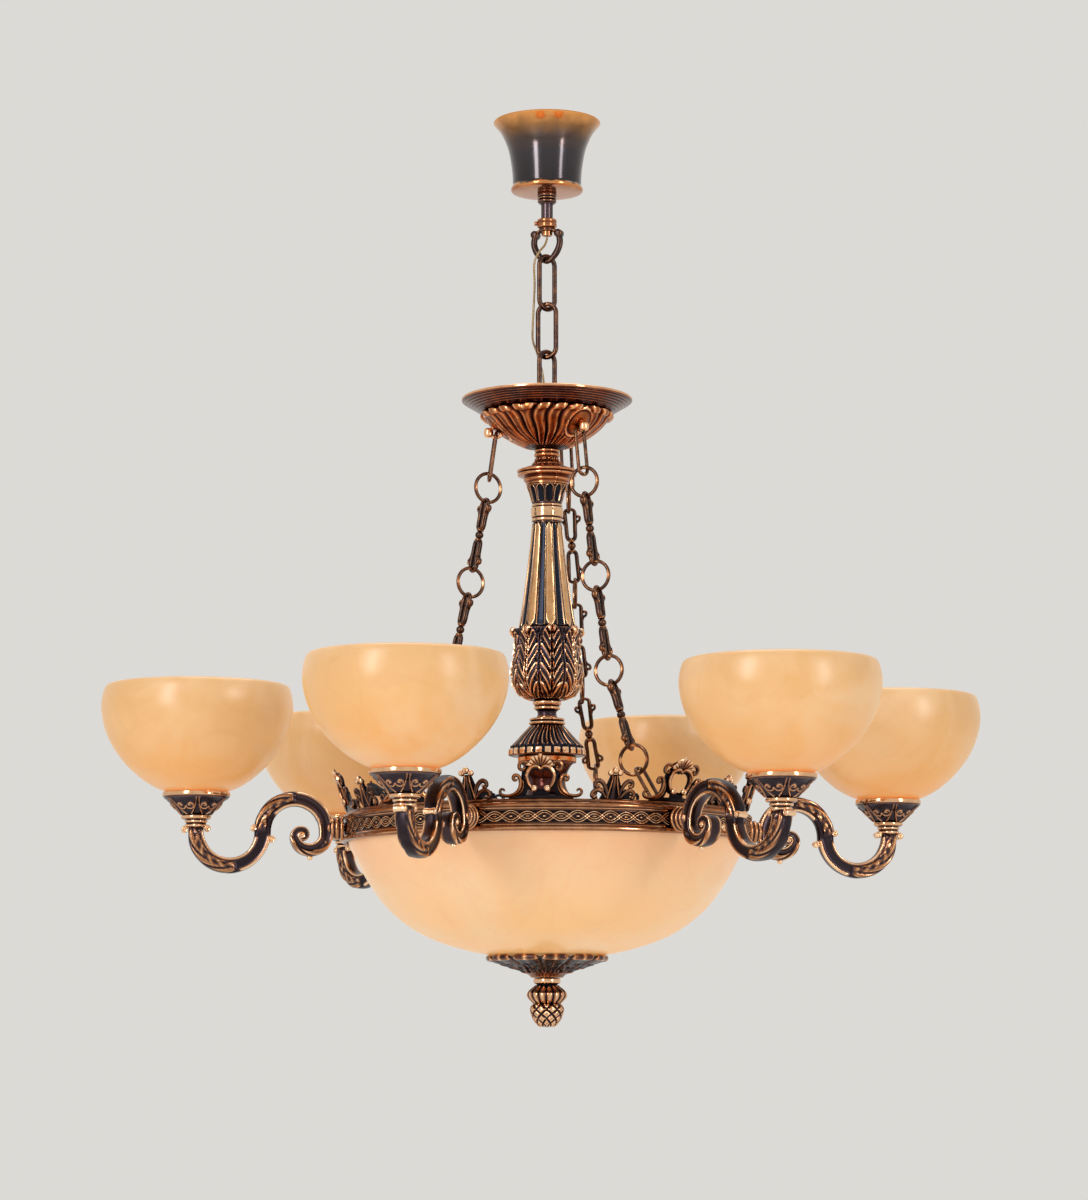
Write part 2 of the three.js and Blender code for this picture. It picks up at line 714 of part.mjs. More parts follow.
// The hole that an arm's bolt passes through
function boltHole() {
  return boltBetween(boltBore, armBoltReach - overrun, ringOuterRadius + overrun);
}

// A cylinder along the X axis at the height of the arm bolts
function boltBetween(radius, from, to) {
  return rodBetween(radius, from, to, lampFacets).rotateY(quarterTurn).translate(0, 0, ringMiddle);
}

// Gallery ring: a moulded band with a lip that hides the bowl's rim
function galleryRing() {
  const lipTop = ringBottom + ringLipHeight;
  const lipInner = ringRadius - ringLipThickness;
  const bead = ringHeight * ringBeadShare;
  const band = spun([
    [ringInnerRadius, ringTop], [ringRadius, ringTop], [ringOuterRadius, ringTop - bead / 2],
    [ringRadius, ringTop - bead], [ringRadius, ringBottom + bead], [ringOuterRadius, ringBottom + bead / 2],
    [ringRadius, ringBottom], [lipInner, ringBottom], [lipInner, lipTop], [ringInnerRadius, lipTop],
  ], ringFacets).rotateZ(Math.PI / ringFacets);
  return cut(band, ...armAngles().map((angle) => turnedTo(boltHole(), angle)));
}

// One crest as a flat plate, cut from an outline of shares and wrapped round the rail
function crest(shares, halfWidth, height, openingRadius) {
  const right = shares.map(([outShare, upShare]) => [outShare * halfWidth, upShare * height]);
  const left = right.slice(0, -1).reverse().map(([x, y]) => [-x, y]);
  const foot = crestFootShares.map((share) => [share * halfWidth, 0]);
  const outline = [...foot, ...right, ...left].map(([x, y]) => new THREE.Vector2(x, y));
  const shape = new THREE.Shape(outline);
  if (openingRadius > 0) {
    const hole = arc(0, height * crestOpeningShare, openingRadius, 0, 360, openingSides);
    shape.holes.push(new THREE.Path(hole.slice(1)));
  }
  const plate = new THREE.ExtrudeGeometry(shape, { depth: crestThickness, bevelEnabled: false });
  const places = plate.getAttribute('position');
  const slope = Math.tan(toRadians(crestLean));
  for (let i = 0; i < places.count; i++) {
    const radius = crestRailRadius + seat + places.getZ(i) + slope * places.getY(i);
    const turn = places.getX(i) / crestRailRadius;
    const height = ringTop + crestRailHeight / 2 + places.getY(i);
    places.setXYZ(i, radius * Math.cos(turn), radius * Math.sin(turn), height);
  }
  return plate;
}

// Crest gallery: tall and low crests in turn, cast on one rail that stands on the ring
function galleryCrests() {
  const outer = crestRailRadius + crestRailThickness;
  const foot = ringTop + seat;
  const top = foot + crestRailHeight;
  const rail = spun([[crestRailRadius, top], [outer, top], [outer, foot], [crestRailRadius, foot]], ringFacets);
  const tall = crest(tallCrestShares, tallCrestHalfWidth, tallCrestHeight, crestOpeningRadius);
  const low = crest(lowCrestShares, lowCrestHalfWidth, lowCrestHeight, 0);
  const step = 360 / crestPairs;
  const crests = Array.from({ length: crestPairs }, (_, i) => [
    turnedTo(low, i * step),
    turnedTo(tall, (i + 0.5) * step),
  ]);
  return join(rail, ...crests.flat());
}

// The line that an arm follows, from under its cup to the end of its volute
function armSpine() {
  const bendX = armReach - lowBendRadius;
  const archX = bendX - lowBendRadius - archRadius;
  const voluteX = armStart + voluteRadius;
  return [
    new THREE.Vector2(armReach, armTop - armCollarHeight / 2),
    ...arc(bendX, lowBendMiddle, lowBendRadius, 0, -180, armBends),
    ...arc(archX, archMiddle, archRadius, 0, 180, armBends),
    ...arc(voluteX, archMiddle - voluteDrop, voluteRadius, 180, voluteEnd, armBends).slice(1),
  ];
}

// Width of the arm's band at a share of its length
function armBandAt(share) {
  const i = Math.max(1, armBandShares.findIndex(([at]) => at >= share));
  const [[fromShare, fromBand], [toShare, toBand]] = [armBandShares[i - 1], armBandShares[i]];
  const blend = (share - fromShare) / (toShare - fromShare);
  return armBand * THREE.MathUtils.lerp(fromBand, toBand, blend);
}

// Arm: a cast S-scroll with a boss and bolt at the ring and a collar for the cup
function arm() {
  const scroll = swept(armSpine(), (share) => [armBandAt(share), armBandWidth], linkSides, false);
  const collar = rodBetween(armCollarRadius, armTop - armCollarHeight, armTop, lampFacets);
  collar.translate(armReach, 0, 0);
  const bossStart = ringOuterFlat + seat;
  const boss = spun([
    [0, bossStart], [armBossRadius, bossStart], [armBossRadius * armBossTaperShare, armStart], [0, armStart],
  ], lampFacets).rotateY(quarterTurn).translate(0, 0, ringMiddle);
  const bolt = boltBetween(armBoltRadius, armBoltReach, (bossStart + armStart) / 2);
  const voluteX = armStart + voluteRadius;
  const voluteZ = archMiddle - voluteDrop;
  const eye = new THREE.CylinderGeometry(voluteEyeRadius, voluteEyeRadius, voluteEyeWidth, lampFacets);
  eye.translate(voluteX + voluteEyeShares[0] * voluteRadius, 0, voluteZ + voluteEyeShares[1] * voluteRadius);
  const bead = new THREE.OctahedronGeometry(voluteBeadRadius);
  bead.translate(voluteX, 0, voluteZ - voluteRadius - armBand * voluteBeadShare);
  const bore = rodBetween(nippleBore, armTop - armBoreDepth, armTop + overrun, lampFacets);
  bore.translate(armReach, 0, 0);
  return cut(join(scroll, collar, boss, bolt, eye, bead), bore);
}

// Shade cup: a cast cup whose recess takes the shade's foot
function shadeCup() {
  const outline = scaled(cupShares, cupRadius, cupTop, cupHeight);
  const rimInner = cupRadius - cupRimThickness;
  const recess = [
    [nippleBore, cupBottom], [nippleBore, cupTop - cupRecess], [rimInner, cupTop - cupRecess], [rimInner, cupTop],
  ];
  return spun([...outline, ...recess], shadeFacets).translate(armReach, 0, 0);
}

// Shade: a turned alabaster bowl, open at the top, with a hole for the lampholder's nipple
function shade() {
  const outline = scaled(shadeShares, shadeRadius, shadeTop, shadeHeight);
  const footRadius = cupRadius - cupRimThickness - 2 * seat;
  const floorHeight = shadeBottom + shadeWall;
  const inner = inset(outline.slice(0, -1), shadeWall).filter((_, i) => i !== 1);
  const foot = [
    [footRadius, shadeBottom + shadeFootHeight], [footRadius, shadeBottom], [shadeHoleRadius, shadeBottom],
    [shadeHoleRadius, floorHeight], [shadeFloorRadius, floorHeight],
  ];
  return spun([...outline, ...foot, ...inner.reverse()], shadeFacets).translate(armReach, 0, 0);
}

// Lampholder body with its lamp bore, standing on the Z axis from a foot height
function holderBody(foot, height) {
  const top = foot + height;
  const boreFoot = top - lampCapHeight - seat;
  return spun([
    [0, foot], [holderRadius, foot], [holderRadius, top], [lampBore, top], [lampBore, boreFoot], [0, boreFoot],
  ], lampFacets);
}

// Lampholder: a flange that presses the shade down, and a nipple through the shade and cup into the arm
function lampholder() {
  const flange = rodBetween(holderFlangeRadius, holderBottom, holderBottom + holderFlangeHeight, lampFacets);
  const nippleTop = holderBottom + holderFlangeHeight / 2;
  const nipple = rodBetween(nippleRadius, armTop - armBoreDepth + seat, nippleTop, lampFacets);
  const body = holderBody(nippleTop, holderTop - nippleTop);
  return join(flange, nipple, body).translate(armReach, 0, 0);
}

// Bulb: a round lamp on a small screw cap, its cap foot at a height
function bulb(foot) {
  const glass = scaled(lampShares, lampRadius, foot + lampHeight, lampHeight);
  const neckHeight = foot + lampCapHeight;
  return spun([...glass, [lampCapRadius, neckHeight], [lampCapRadius, foot], [0, foot]], lampFacets);
}

function armBulb() {
  return bulb(holderTop - lampCapHeight).translate(armReach, 0, 0);
}

// Lamp cluster: a drum on the rod under the spider, with a lampholder on each side
function lampCluster() {
  const bottom = clusterTop - clusterHeight;
  const drum = rodBetween(clusterRadius, bottom, clusterTop, columnFacets);
  const holder = clusterSide(holderBody(clusterRadius / 2, holderHeight));
  const holders = clusterAngles().map((angle) => turnedTo(holder, angle));
  const bore = rodBetween(rodBore, bottom - overrun, clusterTop + overrun);
  return cut(join(drum, ...holders), bore);
}

// Lays a standing piece along the X axis at the height of the bowl's lamps
function clusterSide(geometry) {
  return geometry.rotateY(quarterTurn).translate(0, 0, clusterTop - clusterLampDrop);
}

// Angles of the bowl's lamps, between the spider's bars
function clusterAngles() {
  return Array.from({ length: clusterLampCount }, (_, i) => clusterTurn + (i * 360) / clusterLampCount);
}

function clusterBulb() {
  return clusterSide(bulb(clusterRadius / 2 + holderHeight - lampCapHeight));
}

// Bowl: the large turned alabaster bowl under the ring, with a hole for the rod
function bowl() {
  const outline = scaled(bowlShares, bowlRadius, bowlTop, bowlDepth);
  const inner = inset(outline, bowlWall).filter((_, i) => i % 2 === 0);
  const hole = [[bowlHoleRadius, bowlBottom], [bowlHoleRadius, bowlBottom + bowlWall]];
  return spun([...outline, ...hole, ...inner.reverse()], bowlFacets);
}

// Rosette: a cast leaf fan that carries the bowl's centre
function rosette() {
  return turned(scaled(rosetteShares, rosetteRadius, rosetteTop, rosetteHeight), rodBore, canopyFacets);
}

// Finial: a fluted knob and pinecone that screws on the rod's end
function finial() {
  const outline = scaled(finialShares, finialRadius, finialTop, finialHeight);
  const boreFoot = finialTop - finialBoreDepth;
  return spun([...outline, [0, boreFoot], [rodBore, boreFoot], [rodBore, finialTop]], smallFacets);
}

// Materials: a colour, roughness and metalness for each kind of surface
const materials = {
  bronze: { color: 0x5a4636, roughness: 0.38, metalness: 1 },
  copper: { color: 0x9a5a3c, roughness: 0.3, metalness: 1 },
  gilt: { color: 0xc8935c, roughness: 0.28, metalness: 1 },
  gunmetal: { color: 0x6a6068, roughness: 0.3, metalness: 1 },
  steel: { color: 0x9a9c9e, roughness: 0.45, metalness: 1 },
  alabaster: { color: 0xf4cfa0, roughness: 0.32, metalness: 0 },
  porcelain: { color: 0xeeeae0, roughness: 0.25, metalness: 0 },
  glass: { color: 0xf6f2e8, roughness: 0.2, metalness: 0 },
  flex: { color: 0xb79a6a, roughness: 0.4, metalness: 0 },
};

const chandelier = new THREE.Group();

// Adds one named piece to the light, turned about the column
function add(name, geometry, kind, degrees = 0) {
  const mesh = new THREE.Mesh(join(geometry), new THREE.MeshStandardMaterial(materials[kind]));
  mesh.name = name;
  mesh.rotation.z = toRadians(degrees);
  chandelier.add(mesh);
}

// Adds numbered copies of a piece at their angles
function addRound(name, geometry, kind, angles) {
  angles.forEach((degrees, i) => add(`${name}_${i + 1}`, geometry, kind, degrees));
}

add('ceiling_bracket', ceilingBracket(), 'steel');
add('stem', stem(), 'gunmetal');
add('canopy', canopy(), 'gunmetal');
add('canopy_nut', canopyNut(), 'bronze');
add('hanging_loop', hangingLoop(), 'bronze');
for (let i = 0; i < linkCount; i++) add(`chain_link_${i + 1}`, chainLink(i), 'bronze');
add('supply_flex', supplyFlex(), 'flex');
add('centre_rod', centreRod(), 'steel');
add('top_dish', topDish(), 'copper');
add('dish_boss', dishBoss(), 'copper');
add('capital', capital(), 'gilt');
add('column_neck', columnNeck(), 'bronze');
add('column_shaft', columnShaft(), 'bronze');
add('column_vase', columnVase(), 'bronze');
add('gadroon_cover', gadroonCover(), 'bronze');
add('hub_spool', hubSpool(), 'copper');
add('spider', spider(), 'steel');
add('gallery_ring', galleryRing(), 'bronze');
add('gallery_crests', galleryCrests(), 'bronze');
addRound('arm', arm(), 'bronze', armAngles());
addRound('shade_cup', shadeCup(), 'bronze', armAngles());
addRound('shade', shade(), 'alabaster', armAngles());
addRound('lampholder', lampholder(), 'porcelain', armAngles());
addRound('bulb', armBulb(), 'glass', armAngles());
add('lamp_cluster', lampCluster(), 'porcelain');
addRound('bowl_bulb', clusterBulb(), 'glass', clusterAngles());
addRound('side_chain', sideChain(), 'bronze', sideChainAngles());
add('bowl', bowl(), 'alabaster');
add('rosette', rosette(), 'bronze');
add('finial', finial(), 'bronze');

export default chandelier;
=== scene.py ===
# Alabaster chandelier: six shades on S-scroll arms round a gallery ring, with a large bowl below.
import math
import bmesh
import bpy
import numpy as np
from mathutils import Matrix, Vector


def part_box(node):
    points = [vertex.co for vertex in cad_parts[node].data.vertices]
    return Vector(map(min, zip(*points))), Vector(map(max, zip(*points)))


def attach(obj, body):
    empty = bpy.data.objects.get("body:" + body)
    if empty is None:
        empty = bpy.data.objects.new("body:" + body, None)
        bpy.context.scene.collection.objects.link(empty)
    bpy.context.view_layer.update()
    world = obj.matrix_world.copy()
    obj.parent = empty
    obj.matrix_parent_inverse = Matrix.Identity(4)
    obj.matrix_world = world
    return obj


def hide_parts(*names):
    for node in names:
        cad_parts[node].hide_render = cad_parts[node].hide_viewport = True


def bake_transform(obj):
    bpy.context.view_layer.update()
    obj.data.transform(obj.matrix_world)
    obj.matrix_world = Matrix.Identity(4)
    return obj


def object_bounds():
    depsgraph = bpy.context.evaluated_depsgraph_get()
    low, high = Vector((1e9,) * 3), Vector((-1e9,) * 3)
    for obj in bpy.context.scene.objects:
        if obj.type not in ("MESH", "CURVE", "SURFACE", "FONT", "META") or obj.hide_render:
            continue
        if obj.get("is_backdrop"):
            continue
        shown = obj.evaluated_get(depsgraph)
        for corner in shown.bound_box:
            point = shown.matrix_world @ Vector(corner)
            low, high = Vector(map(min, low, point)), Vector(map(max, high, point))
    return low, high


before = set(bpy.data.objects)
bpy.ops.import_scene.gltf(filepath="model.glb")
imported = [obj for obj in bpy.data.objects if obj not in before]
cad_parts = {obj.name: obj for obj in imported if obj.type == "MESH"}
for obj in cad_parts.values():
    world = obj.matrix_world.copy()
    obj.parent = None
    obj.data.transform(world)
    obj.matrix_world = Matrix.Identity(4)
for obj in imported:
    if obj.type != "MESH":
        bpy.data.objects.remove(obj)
cad_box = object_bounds()
scene = bpy.context.scene
scene.view_settings.view_transform = "Standard"
mm = 0.001

# Camera: stands a little below the bowl, a few degrees left of the front, and looks up at the light.
camera_distance = 3.946
camera_bearing = math.radians(-98.3)
camera_height = -1.0639
camera_tilt = math.radians(7.523)
camera_lens = 107.86
camera_shift = -0.0025


def added(name, data):
    """A new object in the scene."""
    made = bpy.data.objects.new(name, data)
    scene.collection.objects.link(made)
    return made


camera_data = bpy.data.cameras.new("camera")
camera_data.lens = camera_lens
camera_data.sensor_width = 36
camera_data.shift_x = camera_shift
camera_data.clip_end = 60
camera = added("camera", camera_data)
camera.location = (
    camera_distance * math.cos(camera_bearing),
    camera_distance * math.sin(camera_bearing),
    camera_height,
)
camera.rotation_euler = (math.pi / 2 + camera_tilt, 0, camera_bearing + math.pi / 2)
scene.camera = camera


# Studio: a pale floor well below the light, a pale room all round it, and soft lamps that leave
# two upright highlights on polished metal.
floor_drop = 1.6
floor_size = 9
floor_glow = 0.4
light_middle = Vector((0, 0, -0.55))
room_colour = "#dcdad6"
room_level = 0.5


def linear(hex_colour):
    """A #rrggbb colour as linear light."""
    shares = [int(hex_colour[i:i + 2], 16) / 255 for i in (1, 3, 5)]
    return [s / 12.92 if s <= 0.04045 else ((s + 0.055) / 1.055) ** 2.4 for s in shares] + [1.0]


def node(tree, kind, inputs=None, **settings):
    """Adds a node with its settings, and fills or links its inputs."""
    made = tree.nodes.new(kind)
    for key, value in settings.items():
        setattr(made, key, value)
    for socket, value in (inputs or {}).items():
        if isinstance(value, bpy.types.NodeSocket):
            tree.links.new(value, made.inputs[socket])
        else:
            made.inputs[socket].default_value = value
    return made


def reckoned(tree, operation, *values):
    """One step of arithmetic."""
    return node(tree, "ShaderNodeMath", dict(enumerate(values)), operation=operation).outputs[0]


def ranged(tree, value, low, high, start=0.0, end=1.0):
    """A value that runs from low to high while another runs from start to end."""
    made = node(tree, "ShaderNodeMapRange", {"Value": value, "From Min": start, "From Max": end,
                                             "To Min": low, "To Max": high})
    return made.outputs[0]


def noise(tree, place, size, detail=2.0, distortion=0.0):
    """Soft noise with patches of about one size in millimetres."""
    made = node(tree, "ShaderNodeTexNoise", {"Vector": place, "Scale": 1 / (size * mm), "Detail": detail,
                                             "Distortion": distortion})
    return made.outputs["Fac"]


def toned(tree, share, *tones):
    """A colour that runs through tones, each given as its share and its colour."""
    made = node(tree, "ShaderNodeValToRGB", {"Fac": share})
    ramp = made.color_ramp
    for end, (position, tone) in ((0, tones[0]), (1, tones[-1])):
        ramp.elements[end].position = position
        ramp.elements[end].color = linear(tone)
    for position, tone in tones[1:-1]:
        ramp.elements.new(position).color = linear(tone)
    return made.outputs["Color"]


def blank_material(name):
    """A new empty material, its tree, and the place of each point on the object."""
    material = bpy.data.materials.new(name)
    material.use_nodes = True
    tree = material.node_tree
    tree.nodes.clear()
    return material, tree, node(tree, "ShaderNodeTexCoord").outputs["Object"]


def finished(material, inputs):
    """Gives a material its shader, with the shader's inputs."""
    shader = node(material.node_tree, "ShaderNodeBsdfPrincipled", inputs)
    node(material.node_tree, "ShaderNodeOutputMaterial", {"Surface": shader.outputs["BSDF"]})
    return material


def where_seen(tree, hidden, shown):
    """The shown level where it is seen, mirrored or looked at through glass, and else the hidden one."""
    ray = node(tree, "ShaderNodeLightPath").outputs
    seen = reckoned(tree, "MAXIMUM", ray["Is Camera Ray"], ray["Is Glossy Ray"])
    return ranged(tree, reckoned(tree, "MAXIMUM", seen, ray["Is Transmission Ray"]), hidden, shown)


def room_light():
    """The room: its full colour where it is seen or mirrored, and a lower level as light on the object."""
    world = bpy.data.worlds.new("room")
    world.use_nodes = True
    tree = world.node_tree
    tree.nodes.clear()
    level = where_seen(tree, room_level, 1.0)
    light = node(tree, "ShaderNodeBackground", {"Color": linear(room_colour), "Strength": level})
    node(tree, "ShaderNodeOutputWorld", {"Surface": light.outputs[0]})
    scene.world = world


def floor_finish():
    """Matt studio paint: even and pale, with a faint roller grain. It looks pale far from the lamps too."""
    material, tree, place = blank_material("matt_floor_paint")
    colour = toned(tree, noise(tree, place, 333, 4.0), (0, "#d3d1cd"), (1, "#dcdad6"))
    glow = where_seen(tree, 0.0, floor_glow)
    return finished(material, {"Base Color": colour, "Roughness": 0.85, "Emission Color": colour,
                               "Emission Strength": glow})


def lamp(name, place, size, watts):
    """A soft rectangular lamp that faces the middle of the light."""
    data = bpy.data.lights.new(name, "AREA")
    data.shape = "RECTANGLE"
    data.size, data.size_y = size
    data.energy = watts
    holder = added(name, data)
    holder.location = place
    aim = light_middle - holder.location
    holder.rotation_euler = aim.to_track_quat("-Z", "Y").to_euler()


room_light()
lamp("left_softbox", (-2.4, -2.6, 0.3), (0.7, 2.6), 60)
lamp("right_softbox", (2.2, -2.9, -0.1), (0.5, 2.4), 34)
lamp("top_softbox", (0.2, 0.6, 2.2), (2.2, 2.2), 36)

floor_mesh = bpy.data.meshes.new("floor")
half = floor_size / 2
floor_mesh.from_pydata([(-half, -half, -floor_drop), (half, -half, -floor_drop),
                        (half, half, -floor_drop), (-half, half, -floor_drop)], [], [(0, 1, 2, 3)])
floor_mesh.materials.append(floor_finish())
added("floor", floor_mesh)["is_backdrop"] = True


# Supply flex: a thin gold-coloured wire in a clear sleeve. It leaves the stem under the hanging loop, weaves
# down beside the chain and drops through the dish. It is drawn in four lengths.
flex_radius = 1.25
flex_route = [
    (0, 0, -127), (0, 0, -131.4), (-0.5, 0, -136), (-3.5, -3, -143), (-10.5, -8.5, -152), (-15.5, -8, -165),
    (-14.4, -2, -190), (-15.7, 3.3, -235), (-14.6, 8.4, -250), (-9.5, 11, -263), (-3, 10, -290),
    (-1, 10, -325), (-1, 10, -346),
]
flex_sides = 14
flex_joints = [("ceiling", "link_1", -160.3), ("link_1", "link_2", -214.8),
               ("link_2", "link_3", -269.3), ("link_3", "light", -323.8)]
flex_ends = [-127, -187, -242, -296, -346]
flex_overlap = 1.5


def rounded(points, rounds=3):
    """Cuts the corners of an outline again and again, and keeps its two ends."""
    line = np.array(points, float)
    for _ in range(rounds):
        near = 0.75 * line[:-1] + 0.25 * line[1:]
        far = 0.25 * line[:-1] + 0.75 * line[1:]
        middle = np.stack([near, far], 1).reshape(-1, line.shape[1])
        line = np.vstack([line[:1], middle, line[-1:]])
    return line


def paced(line, step):
    """The same line with its points a step apart."""
    gaps = np.linalg.norm(np.diff(line, axis=0), axis=1)
    run = np.concatenate([[0], np.cumsum(gaps)])
    count = max(2, int(round(run[-1] / step)) + 1)
    places = np.linspace(0, run[-1], count)
    return np.stack([np.interp(places, run, line[:, n]) for n in range(line.shape[1])], 1)


def unit(rows):
    """Each row at length one."""
    return rows / np.maximum(np.linalg.norm(rows, axis=1), 1e-9)[:, None]


def capped(rows, first, last):
    """Rows of points that close on one point at each end."""
    sides = rows.shape[1]
    return np.vstack([np.repeat([[first]], sides, 1), rows, np.repeat([[last]], sides, 1)])


def store_polish(mesh, levels):
    """Stores how far each point of a mesh is polished, from 0 for dark to 1 for bright."""
    if "polish" not in mesh.attributes:
        mesh.attributes.new("polish", "FLOAT", "POINT")
    levels = np.broadcast_to(np.ravel(levels), len(mesh.vertices)).astype(np.float32)
    mesh.attributes["polish"].data.foreach_set("value", levels)


def skin(name, rows, closed_rows=False, shine=0.5, sharp=45):
    """A smooth mesh over rows of points in millimetres. Each row closes on itself, and a row on one point
    is a pole. shine is how far each point is polished."""
    rows = np.asarray(rows, float)
    count, sides = rows.shape[:2]
    i, k = np.meshgrid(np.arange(count if closed_rows else count - 1), np.arange(sides), indexing="ij")
    after = (i + 1) % count
    beside = (k + 1) % sides
    faces = np.stack([i * sides + k, i * sides + beside, after * sides + beside, after * sides + k], -1)
    faces = faces.reshape(-1, 4)
    points = rows.reshape(-1, 3)
    a, b, c, d = (points[faces[:, n]] - points.mean(0) for n in range(4))
    volume = (a * np.cross(b, c)).sum() + (a * np.cross(c, d)).sum()
    if volume < 0:
        faces = faces[:, ::-1]
    mesh = bpy.data.meshes.new(name)
    mesh.from_pydata((points * mm).tolist(), [], faces.tolist())
    store_polish(mesh, shine)
    cleaned(mesh, sharp)
    return added(name, mesh)


def cleaned(mesh, sharp=45):
    """Merges doubled points, and shades a mesh smooth up to a sharp angle."""
    work = bmesh.new()
    work.from_mesh(mesh)
    bmesh.ops.remove_doubles(work, verts=work.verts, dist=0.00001)
    work.to_mesh(mesh)
    work.free()
    mesh.shade_smooth()
    mesh.set_sharp_from_angle(angle=math.radians(sharp))


def tube(name, path, section, sides, across=(0, 1, 0)):
    """Sweeps an oval along a path. section gives its thickness and width at each point, and across is the
    way its width lies."""
    path = np.asarray(path, float)
    run = unit(np.gradient(path, axis=0))
    wide = np.broadcast_to(np.asarray(across, float), path.shape)
    wide = unit(wide - (wide * run).sum(1)[:, None] * run)
    thick = np.cross(run, wide)
    size = np.asarray(section, float)
    turn = np.linspace(0, 2 * math.pi, sides, endpoint=False)
    out = np.cos(turn)[None, :, None] * (size[:, 0] / 2)[:, None, None] * thick[:, None, :]
    aside = np.sin(turn)[None, :, None] * (size[:, 1] / 2)[:, None, None] * wide[:, None, :]
    return skin(name, capped(path[:, None, :] + out + aside, path[0], path[-1]))


def through(points, steps):
    """A smooth line through every point of a route."""
    route = np.array(points, float)
    ends = np.vstack([2 * route[0] - route[1], route, 2 * route[-1] - route[-2]])
    line = []
    for i in range(len(route) - 1):
        p0, p1, p2, p3 = ends[i:i + 4]
        for t in np.linspace(0, 1, steps, endpoint=False):
            line.append(0.5 * (2 * p1 + (p2 - p0) * t + (2 * p0 - 5 * p1 + 4 * p2 - p3) * t ** 2
                               + (3 * p1 - p0 - 3 * p2 + p3) * t ** 3))
    return np.array(line + [route[-1]])


def sleeved_flex():
    """Clear vinyl over tinned copper strands: warm, glossy, with a fine slanted twist."""
    material, tree, place = blank_material("clear_vinyl_over_wire")
    twist = node(tree, "ShaderNodeMapping", {"Vector": place, "Rotation": (0.6, 0.6, 0)})
    strand = node(tree, "ShaderNodeTexWave", {"Vector": twist.outputs[0], "Scale": 160.0, "Distortion": 0.5},
                  bands_direction="Z")
    colour = toned(tree, strand.outputs["Fac"], (0, "#7d5f33"), (1, "#c9a468"))
    return finished(material, {"Base Color": colour, "Roughness": 0.28, "Coat Weight": 0.6,
                               "Coat Roughness": 0.08})


flex_line = paced(through(flex_route, 16), 1.4)
flex_material = sleeved_flex()
for i, (upper, lower, pivot) in enumerate(flex_joints):
    high = flex_ends[i] + flex_overlap
    low = flex_ends[i + 1] - flex_overlap
    length = flex_line[(flex_line[:, 2] <= high) & (flex_line[:, 2] >= low)]
    size = np.full((len(length), 2), 2 * flex_radius)
    piece = tube(f"flex_{i + 1}", length, size, flex_sides, across=(0.3, 1, 0.1))
    piece.data.materials.append(flex_material)
    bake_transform(piece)
    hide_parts("supply_flex")


# Ceiling bracket: a pressed steel strap with a threaded boss, zinc plated, screwed to the ceiling box.
def settled(piece):
    """Keeps what a piece's modifiers make of it as a plain mesh."""
    view = bpy.context.evaluated_depsgraph_get()
    done = bpy.data.meshes.new_from_object(piece.evaluated_get(view))
    piece.modifiers.clear()
    piece.data = done
    return piece


def softened(name, source, bevel):
    """A copy of a CAD node with its corners broken."""
    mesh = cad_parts[source].data.copy()
    mesh.name = name
    mesh.materials.clear()
    work = bmesh.new()
    work.from_mesh(mesh)
    bmesh.ops.remove_doubles(work, verts=work.verts, dist=0.00001)
    bmesh.ops.dissolve_limit(work, angle_limit=math.radians(1), verts=work.verts, edges=work.edges)
    work.to_mesh(mesh)
    work.free()
    piece = added(name, mesh)
    edge = piece.modifiers.new("broken_edges", "BEVEL")
    edge.width = bevel * mm
    edge.segments = 2
    edge.limit_method = "ANGLE"
    edge.angle_limit = math.radians(40)
    settled(piece).data.shade_smooth()
    piece.data.set_sharp_from_angle(angle=math.radians(35))
    return piece


def placed(piece, finish, body, source):
    """Gives a piece its material, parents it to the empty of the body it rides on, and hides the CAD node it
    stands for."""
    piece.data.materials.append(finish)
    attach(piece, body)
    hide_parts(source)


def plated_steel():
    """Zinc plated steel: cool grey, faintly mottled, satin."""
    material, tree, place = blank_material("zinc_plated_steel")
    mottle = noise(tree, place, 8.33, 5.0)
    colour = toned(tree, mottle, (0.35, "#7f8183"), (0.65, "#a3a5a8"))
    rough = ranged(tree, mottle, 0.3, 0.5)
    return finished(material, {"Base Color": colour, "Roughness": rough, "Metallic": 1.0})


steel = plated_steel()
placed(softened("bracket", "ceiling_bracket", 0.4), steel, "ceiling", "ceiling_bracket")


# Stem: a drawn brass tube in polished dark patina, with a gilt collar held by a set screw and a gilt neck and
# nut that carry the hanging loop.
stem_radius = 6.65
stem_collar_radius = 11
stem_neck_radius = 4.6
stem_collar_height = 19
loop_nut_radius = 6.2
lead_bore = 1.6
wear_radius = 1.1
band_polish_and_highlight = 0.86
patina_grain = 1.2


def heights(name):
    """Top and bottom of a CAD node in millimetres."""
    low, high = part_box(name)
    return high.z / mm, low.z / mm


def window(place, start, end, soft):
    """One between start and end, easing to nought over a soft edge."""
    up = np.clip((place - start) / soft + 0.5, 0, 1)
    down = np.clip((end - place) / soft + 0.5, 0, 1)
    return up * up * (3 - 2 * up) * down * down * (3 - 2 * down)


